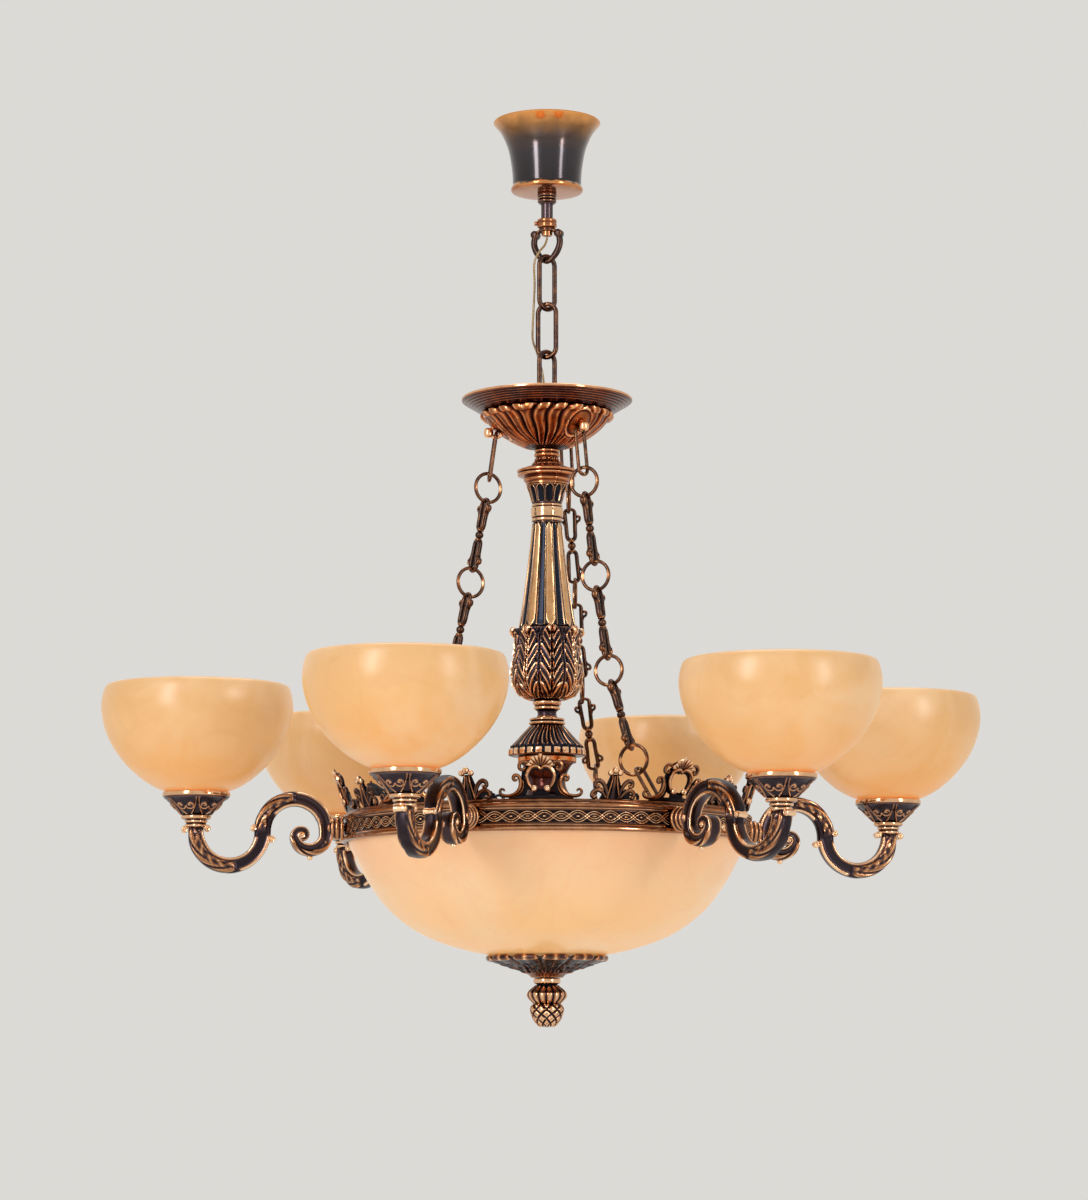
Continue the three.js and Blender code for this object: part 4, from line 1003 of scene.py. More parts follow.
def leaf(across, along, lobes, reach=0.95, slant=0.42):
    """An acanthus leaf: its height from 0 to about 1.3, and its polish. across runs from −1 to 1, and along
    from 0 at its tip to 1 at its foot. Round lobes rise steeply from a double midrib and bend outward, with
    a bright line along each and dark grooves between."""
    side = np.abs(across)
    outline = reach * np.clip(3.6 * (along + 0.05) * (1.3 - along), 0, 1) ** 0.5
    phase = lobes * (along + slant * side ** 0.55)
    off = np.abs(np.mod(phase + 0.5, 1) - 0.5)
    lobe_end = outline * (1 - 0.5 * bump(off, 0.17))
    body = np.clip((lobe_end - side) / 0.1, 0, 1) ** 0.7
    fold = np.clip(off / 0.2, 0, 1) ** 0.8 * (1 - 0.3 * bump(off - 0.5, 0.16))
    stem = bump(side - 0.1, 0.04) - 0.6 * bump(side, 0.05)
    height = body * (0.2 + 0.8 * fold + 0.5 * stem)
    edge = bump(lobe_end - side - 0.07, 0.05) * (side > 0.2)
    bright = 0.5 * bump(off - 0.24, 0.07) + 0.15 * fold + 0.7 * np.clip(stem, 0, 1) + 0.6 * edge
    polish = body * (0.2 + bright)
    return height, np.clip(polish, 0, 1)


def vase_relief(drop, turn, radius):
    """Leaves whose tips curl out, and the tips of as many between them. The foot is rubbed brighter."""
    along = drop / vase_leaf_height
    front, polish = leaf(repeat(turn, vase_leaves), along, 3.6)
    behind, far_polish = leaf(repeat(turn, vase_leaves, 0.5), along * 0.9 + 0.1, 4)
    curl = bump(along - 0.04, 0.045) * bump(repeat(turn, vase_leaves), 0.5)
    inside = window(drop, 0.5, vase_leaf_height + 0.5, 1)
    shine = np.where(front > 0.3 * behind, polish, 0.5 * far_polish)
    shine = shine + 0.3 * curl + 0.16 * window(along, 0.66, 2, 0.3)
    lift = (3.2 * np.maximum(front, 0.45 * behind) - 1.5 + 2.6 * curl) * inside
    return lift, shine * inside + 0.5 * (1 - inside)


vase_patina = patina("acanthus_bronze", "#1d1f29", "#41353a", "#b1764e", "#fdcfa4", (0.34, 0.15))
vase = bored("leaf_vase", "column_vase", vase_radius, vase_shares, 304, 0.64, vase_relief, rounds=3)
vase_bottom = heights("column_vase")[1]
vase_rings = [(vase_bottom + 19, vase_bottom + 13.4), (vase_bottom + 12.4, vase_bottom + 8.6)]
placed(weathered(vase, lifted=0.8, bands=vase_rings), vase_patina, "light", "column_vase")


# Gadroon cover: a cast umbrella of swept ribs with a rim of small square lappets, under a gilt double ring.
cover_radius = 42
cover_ribs = 22
cover_lappets = 26
cover_rib_head = 9
cover_rib_length = 24
cover_rim_drops = (34.8, 41)
cover_shares = [
    (0.3, 0), (0.44, 0.003), (0.465, 0.02), (0.465, 0.055), (0.43, 0.075), (0.43, 0.09), (0.475, 0.105),
    (0.485, 0.14), (0.46, 0.175), (0.41, 0.19), (0.4, 0.21), (0.45, 0.28), (0.57, 0.4), (0.71, 0.56),
    (0.87, 0.73), (0.955, 0.8), (0.965, 0.83), (0.985, 0.85), (0.99, 0.97), (0.97, 1), (0.7, 1),
]


def cover_relief(drop, turn, radius):
    """Ribs with bright edges that sweep down to a scalloped line, and square lappets round the rim."""
    share = (drop - cover_rib_head) / cover_rib_length
    across = np.abs(repeat(turn + 0.09 * np.sin(share * 2.6), cover_ribs))
    ends = window(share, 0, 1.02 - 0.16 * across ** 2, 0.07)
    rib = np.sqrt(np.clip(1 - (across / 0.9) ** 2, 0, 1))
    line = bump(across - 0.5, 0.16)
    tile = np.abs(repeat(turn, cover_lappets))
    lappet = window(tile, -1, 0.72, 0.2) * window(drop, *cover_rim_drops, 0.8)
    folded = window(drop, cover_rib_head - 0.4, cover_rim_drops[1], 0.5)
    shine = 0.5 * (1 - folded) + folded * (0.08 + 0.8 * line * ends + 0.8 * lappet)
    return 2.2 * rib * ends + 1.4 * lappet, shine


cover = bored("swept_cover", "gadroon_cover", cover_radius, cover_shares, 384, 0.55, cover_relief)
cover_top = heights("gadroon_cover")[0]
cover_rings = [(cover_top - 0.6, cover_top - 2.8), (cover_top - 4.2, cover_top - 7.4)]
placed(weathered(cover, lifted=0.85, bands=cover_rings), vase_patina, "light", "gadroon_cover")


# Hub spool: turned brass, copper coloured and polished on its plain drum, over a deep cove left dark.
spool_radius = 40
spool_shares = [
    (0.6, 0), (0.79, 0.003), (0.805, 0.015), (0.805, 0.12), (0.79, 0.135), (0.72, 0.14), (0.66, 0.18),
    (0.57, 0.3), (0.51, 0.43), (0.5, 0.52), (0.53, 0.63), (0.62, 0.76), (0.78, 0.87), (0.93, 0.92),
    (0.985, 0.93), (1, 0.945), (1, 0.99), (0.98, 1), (0.6, 1),
]

spool_patina = patina("polished_coppered_brass", "#2c1a1e", "#56302b", "#b4673c", "#f2a56c", (0.2, 0.11))
spool_top, spool_bottom = heights("hub_spool")
spool = bored("turned_spool", "hub_spool", spool_radius, spool_shares, 128, 0.7)
spool_bands = [(spool_top + 1, spool_top - 6.4), (spool_bottom + 3.6, spool_bottom - 1)]
placed(weathered(spool, shift=-0.08, bands=spool_bands), spool_patina, "light", "hub_spool")


# Spider: a cast hub with six bars to the ring and three chain eyes, zinc plated, mostly hidden by the bowl.
placed(softened("spider_casting", "spider", 0.6), steel, "light", "spider")


# Gallery ring: a cast brass band with smooth half-round mouldings above and below. Between them two ribbons
# cross, with an eye in each long loop and a floret in each short one.
ring_radius = 222
ring_inner_radius = 208
ring_bulge = 3
ring_lip = 7.5
ring_lip_radius = 219.6
ring_moulding_shares = [
    (0, 0), (0.6, 0.004), (0.95, 0.03), (1.05, 0.09), (0.95, 0.15), (0.6, 0.176), (0.3, 0.185), (0.3, 0.22),
    (0.12, 0.235), (-0.1, 0.25),
]
ribbon_repeats = 40
ribbon_swing = 4.4
frieze_share = 0.24


def ribbon_relief(drop, turn, radius):
    """Two crossing ribbons with raised edges, and the eye or floret inside each loop."""
    middle = drop - drop.max() / 2
    x = turn * ribbon_repeats / (2 * math.pi)
    pitch = 2 * math.pi * ring_radius / ribbon_repeats
    swing = ribbon_swing * (np.cos(2 * math.pi * x) + 0.12)
    slope = ribbon_swing * 2 * math.pi / pitch * np.sin(2 * math.pi * x)
    lift = 0 * middle
    for way in (-1, 1):
        off = np.abs(middle - way * swing) / np.sqrt(1 + slope ** 2)
        lift = np.maximum(lift, bump(off - 1.2, 0.62) + 0.15 * bump(off, 1.2))
    along = (np.mod(x + 0.5, 1) - 0.5) * pitch
    eye = np.sqrt((along * 0.5) ** 2 + middle ** 2)
    lift = np.maximum(lift, 1.3 * bump(eye, 1.0) + 0.8 * bump(eye - 2.1, 0.35))
    beside = (np.mod(x, 1) - 0.5) * pitch
    away = np.sqrt(beside ** 2 + middle ** 2)
    petals = 0.6 + 0.4 * np.cos(4 * np.arctan2(middle, beside))
    return 0.9 * np.maximum(lift, bump(away - 1.5, 1.1) * petals + bump(away, 0.7))


ring_top, ring_bottom = heights("gallery_ring")
ring_height = ring_top - ring_bottom
upper_moulding = []
for out, down in ring_moulding_shares:
    upper_moulding.append((ring_radius + out * ring_bulge, ring_top - down * ring_height))
lower_moulding = [(r, ring_top + ring_bottom - z) for r, z in upper_moulding[::-1]]
band = turned("ring_band", [(ring_inner_radius + 1, ring_top)] + upper_moulding + lower_moulding + [
    (ring_lip_radius, ring_bottom),
], 360, 0.9, inner=[
    (ring_lip_radius, ring_bottom + ring_lip), (ring_inner_radius, ring_bottom + ring_lip),
    (ring_inner_radius, ring_top - 0.6),
], rounds=2)
frieze_top = ring_top - frieze_share * ring_height
frieze_bottom = ring_bottom + frieze_share * ring_height
frieze_face = [(ring_radius - 0.2, frieze_top), (ring_radius - 0.2, frieze_bottom)]
frieze_back = [(ring_radius - 1.5, frieze_bottom), (ring_radius - 1.5, frieze_top)]
frieze = turned("frieze", frieze_face, 1560, 0.5, relief=ribbon_relief, inner=frieze_back)
moulding_bronze = patina("rubbed_moulding_bronze", "#231b1b", "#66473a", "#b77d55", "#fdcba0", (0.24, 0.14))
ribbon_bronze = patina("ribbon_bronze", "#1f1a1d", "#382c2d", "#c18557", "#ffd6ae", (0.36, 0.18))
# Thin bright lines along the half-round mouldings are painted highlights, as on glossy mouldings.
moulding_painted_highlights = [(ring_top - 2.6, ring_top - 3.6), (ring_top - 5.6, ring_top - 6.8),
                  (ring_bottom + 6.8, ring_bottom + 5.6), (ring_bottom + 3.4, ring_bottom + 1.6)]
placed(weathered(band, bands=moulding_painted_highlights), moulding_bronze, "light", "gallery_ring")
placed(weathered(frieze, lifted=0.95), ribbon_bronze, "light", "gallery_ring")


# Gallery crests: nine tall openwork crests with a shell over an oval, and nine low palmettes between them,
# cast brass on one rail. They lean out with the flare of the gallery, and their tips curl forward.
crest_pairs = 9
crest_lean = 18
crest_rail_radius = 214.5
crest_rail_height = 4
crest_rail_thickness = 4.5
tall_crest_turn = 20
oval_frame = [(0, 31.5), (3.5, 34.3), (9, 33.2), (13, 27.5), (13.2, 20.5), (10.4, 14), (6.8, 10.8)]
oval_ball = (6.6, 11.6, 3.6)
wing_scroll = [
    (23.9, 22.3), (24.4, 20.6), (26.3, 20.6), (27.2, 22.8), (25.8, 25.2), (22.6, 25), (20.4, 21.6),
    (20.2, 15.5), (22.6, 9.6), (28, 5.6), (34.5, 4.4), (39.6, 5.6), (41.5, 8.6), (40, 11.4), (37.4, 11.1),
    (37, 9.2),
]
wing_web = [(17.4, 22), (17, 15), (19, 8.5), (24.5, 4.2), (33, 2.6)]
wing_vein = [(17.6, 20), (17.4, 14), (20.2, 7.8), (26, 4.2), (33, 2.8)]
side_curl = [
    (10.5, 35.5), (13.8, 38.6), (18, 38.8), (20.6, 35.8), (20.2, 32), (17.4, 30.6), (15.4, 32.4),
    (16.6, 34.2),
]
shell_rays = 9
shell_fan = 66
shell_inner = 4.6
shell_outer = 16.2
shell_middle = (0, 31)
low_bars = [(6.6, 1.5), (5.2, 8), (3.4, 16), (2.4, 22), (2.6, 27)]
low_leaf = [
    (5.6, 2), (7.6, 10), (11, 17), (15.4, 20.4), (19, 19.2), (19.6, 15.6), (17, 14.2), (15.6, 16),
]
low_lobe = [(8, 3), (12.4, 8.8), (17.4, 11), (21.6, 8.8), (22.6, 4.8), (19.8, 3.2), (18.4, 5)]
low_petals = [(0, 31, 3.7), (4.9, 28.4, 3.2), (-4.9, 28.4, 3.2)]


def flat_scroll(name, points, thick, wide, rise=0.0, curl=0.0, sides=8, steps=5):
    """A tapered scroll drawn flat, with x along the rail, y up and z outward. Its far end curls forward."""
    line = through([(x, y, 0) for x, y in points], steps)
    share = np.linspace(0, 1, len(line))
    line[:, 2] = rise + curl * np.clip((share - 0.6) / 0.4, 0, 1) ** 2
    body = 0.55 + 0.45 * np.sin(math.pi * np.clip(share * 1.1, 0, 1)) ** 0.6
    return tube(name, line, np.column_stack([thick * body, wide * body]), sides, across=(0, 0, 1))


def flat_ball(place, radius, rise, flatness=1.0, sides=12):
    """A round boss drawn flat."""
    arc = [(radius * math.cos(a) + 1e-3, flatness * radius * math.sin(a)) for a in np.linspace(1.5, -1.5, 9)]
    return moved(turned("boss", arc, sides, radius / 3, rounds=1), *place, rise)


def both_sides(make, points, *sizes, **settings):
    """Makes a form and its mirror image."""
    mirror = [(-p[0], *p[1:]) for p in points]
    return [make("right", points, *sizes, **settings), make("left", mirror, *sizes, **settings)]


def flat_bar(name, points, steps, wide, deep, sides=8):
    """A flat bar that holds the scrolls together. wide is its width at its two ends."""
    line = through(points, steps)
    size = np.column_stack([np.linspace(*wide, len(line)), np.full(len(line), deep)])
    return tube(name, line, size, sides, across=(0, 0, 1))


def tall_crest():
    """A shell over an oval frame, with a curl at each side and a broad wing that ends in a scroll."""
    forms = both_sides(flat_scroll, oval_frame, 4.2, 5.4, rise=1.6)
    forms += both_sides(flat_scroll, [(x * 1.12, y) for x, y in oval_frame], 8.5, 2.2, rise=-1)
    forms += both_sides(flat_scroll, wing_scroll, 4, 5, rise=1)
    forms += both_sides(flat_scroll, wing_web, 9, 2.6, rise=-0.8)
    forms += both_sides(flat_scroll, wing_vein, 2.2, 3.4, rise=1)
    forms += both_sides(flat_scroll, side_curl, 3.8, 4.6, rise=1)
    x, y, radius = oval_ball
    forms += [flat_ball((way * x, y), radius, 2.4) for way in (-1, 1)]
    for i in range(shell_rays):
        fan = math.radians(shell_fan * (2 * i / (shell_rays - 1) - 1))
        way = np.array([math.sin(fan), math.cos(fan)])
        near = np.array(shell_middle) + way * shell_inner
        far = np.array(shell_middle) + way * (shell_outer - 1.2 * (i % 2) - 2.4 * abs(math.sin(fan)))
        ray = through([(*near, 0.6), (*(0.5 * near + 0.5 * far), 1.6), (*far, 3.6)], 5)
        size = np.linspace(1, 2, len(ray))
        forms.append(tube("ray", ray, np.column_stack([1.9 * size, 2 * size]), 8, across=(0, 0, 1)))
    backs = [
        ("shell_web", ((-10, 36, -1), (0, 39.5, -1), (10, 36, -1)), 6, 10, 1.8),
        ("foot", ((-33, 2.4, -0.6), (0, 3, -0.6), (33, 2.4, -0.6)), 8, 6, 3.4),
        ("lap", ((-8, 7, -0.8), (0, 7.5, -0.8), (8, 7, -0.8)), 4, 8, 2.4),
    ]
    forms += [flat_bar(name, points, steps, (wide, wide), deep) for name, points, steps, wide, deep in backs]
    return joined("tall_crest", forms)


def low_crest():
    """A narrow stem with a three-petal top between two pairs of broad curled leaves."""
    forms = both_sides(flat_scroll, low_bars, 2.4, 4, rise=1)
    forms += both_sides(flat_scroll, low_leaf, 5, 4.6, rise=0.6, curl=1.8)
    forms += both_sides(flat_scroll, low_lobe, 4.4, 4.2, rise=0.9, curl=1.4)
    forms.append(flat_bar("core", [(0, 1, 0.4), (0, 12, 0.8), (0, 25, 1)], 6, (6.5, 2.4), 3))
    forms.append(flat_bar("web", [(0, 1, -1), (0, 12, -1), (0, 27, -1)], 6, (30, 8), 2, sides=10))
    forms += [flat_ball((x, y), radius, 2) for x, y, radius in low_petals]
    return joined("low_crest", forms)


def wrapped(piece, turn):
    """Bends a flat crest round the rail and leans it out. What stood forward is polished brighter."""
    x, y, z = read(piece.data.vertices, "co", 3).T / mm
    store_polish(piece.data, np.clip((z + 0.6) / 5, 0, 1))
    radius = crest_rail_radius + crest_rail_thickness / 2 + z + math.tan(math.radians(crest_lean)) * y
    around = math.radians(turn) + x / crest_rail_radius
    up = ring_top + crest_rail_height / 2 + y
    places = np.stack([radius * np.cos(around), radius * np.sin(around), up], 1) * mm
    piece.data.vertices.foreach_set("co", places.ravel())
    return piece


def ring_tree():
    """Geometry nodes: copies of a form, evenly spaced round the axis."""
    tree, given = shape_tree("evenly_round_the_axis", Geometry="Geometry", Count="Int", Finish="Material")
    points = node(tree, "GeometryNodePoints", {"Count": given["Count"]})
    index = node(tree, "GeometryNodeInputIndex")
    share = reckoned(tree, "DIVIDE", index.outputs[0], given["Count"])
    spin = node(tree, "ShaderNodeCombineXYZ", {"Z": reckoned(tree, "MULTIPLY", share, 2 * math.pi)})
    copies = node(tree, "GeometryNodeInstanceOnPoints", {"Points": points.outputs[0],
                                                         "Instance": given["Geometry"],
                                                         "Rotation": spin.outputs[0]})
    return shape_end(tree, copies.outputs[0], given["Finish"])


round_the_axis = ring_tree()
crest_bronze = patina("crest_bronze", "#1f1b1f", "#3f3232", "#b0754c", "#fdd0a6", (0.36, 0.16))
crest_top = ring_top + crest_rail_height
crest_rail = turned("crest_rail", [
    (crest_rail_radius, crest_top), (crest_rail_radius + 3.6, crest_top),
    (crest_rail_radius + 4.5, crest_top - 0.8), (crest_rail_radius + 4.5, ring_top + 1),
    (crest_rail_radius + 4.2, ring_top + 0.3),
], 240, 0.8, inner=[(crest_rail_radius, ring_top + 0.3), (crest_rail_radius, crest_top - 0.5)], rounds=2)
pair = joined("crest_pair", [
    wrapped(tall_crest(), tall_crest_turn),
    wrapped(low_crest(), tall_crest_turn + 180 / crest_pairs),
])
weathered(pair, lifted=0.85, passes=1, shift=-0.16)
pair_mesh = pair.data
bpy.data.objects.remove(pair)
crests = made_by(round_the_axis, "gallery_crest_castings", source=pair_mesh, Count=crest_pairs,
                 Finish=crest_bronze)
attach(crests, "light")
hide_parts("gallery_crests")
placed(weathered(crest_rail), crest_bronze, "light", "gallery_crests")


# Arms: six cast brass S-scrolls. Each rises from the shade cup's collar through a low bend and an arch to a
# ringed boss on the ring, and ends in a volute. Leaf lobes wrap the two outer turns, and rubbed ribs edge
# the dark sides.
arm_count = 6
arm_reach = 384
arm_thick = 16.5
arm_wide = 15
low_bend_radius = 36
arch_radius = 34.5
arch_centre = 277.5
low_bend_drop = 5.3
arch_drop = 3.3
volute_drop = 6.3
volute_radius = 17.5
volute_end = 345
volute_eye_reach = 8.6
volute_wide = 17
arm_boss_start = 224.6
arm_boss_end = 245
arm_boss_radius = 14
arm_bolt_radius = 4
rib_curl_radius = 3.8
low_curls = [(321.6, 4.6, 6.8), (302, -7.4, 6.8)]
top_curls = [(371.8, -9, 6.8), (396.2, -10.4, 6.6)]
volute_curl_radius = 2.8
arm_collar_radius = 12.5
arm_collar_top = -790.5
volute_bead = (260.5, -829.8)
arm_band_shares = [
    (0, 0.9), (0.08, 1.1), (0.3, 1), (0.42, 1.12), (0.55, 1), (0.74, 0.95), (0.84, 0.85), (0.9, 0.64),
    (1, 0.3),
]
arm_sides = 56
lobe_pitch = 26
rib_place = 0.76
long_rib = (10, 119)
short_rib = (78, 122)
arch_ribs = ((rib_place, 150), (-rib_place, 182))
lower_sheath = (9, 74)
upper_sheath = (127, 180)
volute_sheath = (246, 287)


def bend(centre, radius, start, end, step=1.3):
    """Points of an arc in the XZ plane, from one angle to another in degrees."""
    count = max(3, int(abs(math.radians(end - start)) * radius / step))
    turn = np.radians(np.linspace(start, end, count))
    return np.column_stack([centre[0] + radius * np.cos(turn), centre[1] + radius * np.sin(turn)])


def arm_spine(top, ring_middle):
    """The middle of the band, from the collar under the cup to the heart of the volute."""
    low = (arm_reach - low_bend_radius, ring_middle - low_bend_drop)
    arch = (arch_centre, ring_middle - arch_drop)
    inner = (arch_centre - arch_radius + volute_radius, ring_middle - volute_drop)
    eye = volute_eye(ring_middle)
    spiral_turn = np.radians(np.linspace(volute_end - 360, 285, 40))
    spiral_radius = np.linspace(volute_eye_reach, 2.6, 40)
    spiral = np.column_stack([eye[0] + spiral_radius * np.cos(spiral_turn),
                              eye[1] + spiral_radius * np.sin(spiral_turn)])
    line = np.vstack([
        [(arm_reach, top - 1)], bend(low, low_bend_radius, 0, -180), bend(arch, arch_radius, 0, 180),
        bend(inner, volute_radius, 180, volute_end)[:-2], spiral,
    ])
    return paced(line, 1.35)


def volute_eye(ring_middle):
    """The heart of the volute, on the line from the end of its arc to the arc's centre."""
    reach = volute_radius - volute_eye_reach
    turn = math.radians(volute_end)
    return (arch_centre - arch_radius + volute_radius + reach * math.cos(turn),
            ring_middle - volute_drop + reach * math.sin(turn))


def lobes(run, across, zone, slant, reach):
    """Overlapping leaf lobes in one stretch of the arm, nearly in line with it, between two edges."""
    inside = window(run, *zone, 7) * window(across, *reach, 0.22)
    phase = run / lobe_pitch + slant * across
    fold = np.abs(np.sin(math.pi * phase)) ** 0.55
    line = np.abs(np.sin(2 * math.pi * phase)) ** 5
    return inside, fold - 0.1 * line, line


def arm_relief(run, across, beside):
    """Lift and polish of the arm's skin. across runs from −1 to 1 between the band's edges, and beside is 1
    on its flat sides. A broad bright rib runs along each edge where no leaf covers it."""
    end = run.max()
    ribs = window(run, *long_rib, 5) * bump(across + rib_place, 0.22)
    ribs = ribs + window(run, *short_rib, 5) * bump(across - rib_place, 0.22)
    for edge, start in arch_ribs:
        fine = 0.6 * bump(across - edge * 0.45, 0.09)
        ribs = ribs + window(run, start, end + 9, 6) * (bump(across - edge, 0.2) + fine)
    lift = (1.8 * ribs - 0.7 * window(across, -0.6, 0.6, 0.3)) * beside
    shine = 0.1 + 0.85 * np.clip(ribs, 0, 1)
    zones = (
        (lower_sheath, 1.5, (-0.5, 1.6)),
        (upper_sheath, -1.5, (-1.6, 0.35)),
        (volute_sheath, -1, (-1.6, -0.1)),
    )
    for zone, slant, reach in zones:
        inside, fold, line = lobes(run, across, zone, slant, reach)
        inside = inside * (0.12 + 0.88 * beside)
        lift = lift * (1 - inside) + inside * (2.5 * fold - 0.3)
        shine = shine * (1 - inside) + inside * (0.1 + 0.45 * fold + 0.42 * line)
    return lift, shine


def arm_band(top, ring_middle):
    """The swept band of one arm, with its relief."""
    spine = arm_spine(top, ring_middle)
    run = np.concatenate([[0], np.cumsum(np.linalg.norm(np.diff(spine, axis=0), axis=1))])
    way = unit(np.gradient(spine, axis=0))
    out = np.column_stack([-way[:, 1], way[:, 0]])
    for _ in range(6):
        out[1:-1] = 0.25 * out[:-2] + 0.5 * out[1:-1] + 0.25 * out[2:]
    out = unit(out)
    shares = np.array(arm_band_shares)
    thick = arm_thick / 2 * np.interp(run / run[-1], shares[:, 0], shares[:, 1])
    wide = arm_wide / 2 + (volute_wide - arm_wide) / 2 * np.clip((run / run[-1] - 0.85) / 0.1, 0, 1)
    turn = np.linspace(0, 2 * math.pi, arm_sides, endpoint=False)
    c, s = np.cos(turn), np.sin(turn)
    across = np.sign(c) * np.abs(c) ** 0.62
    aside = np.sign(s) * np.abs(s) ** 0.62
    beside = np.clip((np.abs(aside) - 0.55) / 0.35, 0, 1)
    lift, shine = arm_relief(run[:, None], across[None, :], beside[None, :])
    lift = lift * np.clip(thick / 6, 0, 1)[:, None]
    in_plane = thick[:, None] * across[None, :] + lift * c[None, :]
    sideways = wide[:, None] * aside[None, :] + lift * s[None, :]
    x = spine[:, :1] + out[:, :1] * in_plane
    z = spine[:, 1:] + out[:, 1:] * in_plane
    rows = np.stack([x, sideways, z], -1)
    shine = np.vstack([shine[:1], shine, shine[-1:]])
    return skin("arm_band", capped(rows, rows[0].mean(0), rows[-1].mean(0)), shine=shine)


def rib_end(x, z, radius, half_width):
    """The small scroll in which a rib ends."""
    def whorl(drop, turn, out):
        return 0.35 * np.cos(2 * math.pi * out / 1.6 - turn) * (out < radius * 0.9)

    end = turned("rib_end", [
        (0.2, half_width), (radius * 0.5, half_width), (radius * 0.92, half_width - 0.5),
        (radius, half_width - 1.6), (radius * 0.86, half_width - 2.6), (radius * 0.86, 2.6 - half_width),
        (radius, 1.6 - half_width), (radius * 0.92, 0.5 - half_width), (radius * 0.5, -half_width),
        (0.2, -half_width),
    ], 24, 0.5, relief=whorl, rounds=2)
    return moved(swung(marked(end, 0.9), 90, "X"), x=x, z=z)


def arm_boss(ring_middle):
    """The ringed boss against the ring, with its bolt through the ring."""
    def cut_thread(drop, turn, out):
        return 0.2 * np.sin(2 * math.pi * drop / 1.5 - turn) * (out > 3.9)

    length = arm_boss_end - arm_boss_start
    boss = turned("arm_boss", [
        (arm_bolt_radius, 0), (arm_boss_radius - 1, 0), (arm_boss_radius, 0.5), (arm_boss_radius, 3),
        (13, 3.8), (12, 4), (12, 5.2), (12.8, 5.8), (12.8, 8.2), (12, 9), (10.6, 9.3), (10.6, 10.4),
        (11.4, 11), (11.4, 13), (10.4, 13.8), (9, 14.2), (7, length - 2), (0.2, length),
    ], 56, 0.5, rounds=2)
    bolt = turned("arm_bolt", [
        (0.2, -26.6), (3.2, -26.6), (arm_bolt_radius, -25.8), (arm_bolt_radius, -25), (arm_bolt_radius, 1),
        (0.2, 1),
    ], 20, 0.8, relief=cut_thread, rounds=1)
    for piece in (boss, bolt):
        moved(swung(piece, 90, "Y"), x=arm_boss_start, z=ring_middle)
    return [marked(boss, 0.62), marked(bolt, 0.4)]


def arm_collar(top):
    """The squarish collar under the cup, and the bead that hangs from the volute."""
    def squared(drop, turn, out):
        return 0.5 * np.cos(4 * turn) * (drop > 3.4)

    collar = turned("arm_collar", [
        (4.5, top), (arm_collar_radius - 0.8, top), (arm_collar_radius, top - 0.8),
        (arm_collar_radius, top - 2.4), (11, top - 3.2), (10.2, top - 3.6), (10.2, top - 4.4),
        (11.6, top - 5), (12, top - 6), (11.6, top - 7.2), (9.4, top - 8.4), (7, top - 9.2),
        (0.2, top - 9.4),
    ], 56, 0.4, relief=squared, rounds=2)
    bead = turned("volute_bead", [
        (1.2, 3.4), (1.6, 3.2), (1.5, 2.4), (2.8, 2), (3.3, 0.4), (3, -1.4), (1.8, -2.8), (0.2, -3.3),
    ], 24, 0.4, rounds=2)
    moved(collar, x=arm_reach)
    moved(bead, x=volute_bead[0], z=volute_bead[1])
    return [marked(collar, 0.72), marked(bead, 0.85)]


def arm_casting(top, ring_middle):
    """One whole arm, drawn in the plane of the first."""
    low_z = ring_middle - low_bend_drop
    forms = [arm_band(top, ring_middle)]
    forms += [rib_end(x, low_z + up, rib_curl_radius, half_width) for x, up, half_width in low_curls]
    forms += [rib_end(x, top + up, rib_curl_radius, half_width) for x, up, half_width in top_curls]
    forms.append(rib_end(*volute_eye(ring_middle), volute_curl_radius, volute_wide / 2 + 0.6))
    return joined("arm_casting", forms + arm_boss(ring_middle) + arm_collar(top))


def copied_round(first, finish, angles, name, source, bodies=None):
    """Copies a finished mesh to each angle, as one piece for each CAD node it stands for."""
    for i, angle in enumerate(angles):
        piece = swung(added(f"{name}_{i + 1}", first.data.copy()), angle)
        placed(piece, finish, bodies[i] if bodies else "light", f"{source}_{i + 1}")
    bpy.data.objects.remove(first)


arm_angles = [i * 360 / arm_count for i in range(arm_count)]
arm_bronze = patina("arm_bronze", "#342c31", "#503f40", "#bd855a", "#ffd6ad", (0.32, 0.16))
arm = weathered(arm_casting(arm_collar_top, (ring_top + ring_bottom) / 2), lifted=0.85)
copied_round(arm, arm_bronze, arm_angles, "s_scroll_arm", "arm")


# Shade cups: six cast brass saucers with a polished gilt rim. Pairs of C-scrolls stand round the dark side,
# and a gilt ring closes the foot.
cup_radius = 36.6
cup_scrolls = 6
cup_scroll_drop = 15
cup_scroll_radius = 6.4
cup_dark_drops = (7.2, 24)
cup_shares = [
    (0.86, 0), (0.96, 0.002), (1, 0.02), (1, 0.155), (0.985, 0.18), (0.96, 0.19), (0.965, 0.21),
    (0.95, 0.235), (0.89, 0.27), (0.77, 0.38), (0.66, 0.52), (0.54, 0.66), (0.44, 0.78), (0.4, 0.815),
    (0.39, 0.83), (0.43, 0.845), (0.445, 0.875), (0.445, 0.93), (0.43, 0.965), (0.385, 0.985), (0.36, 1),
    (0.16, 1),
]


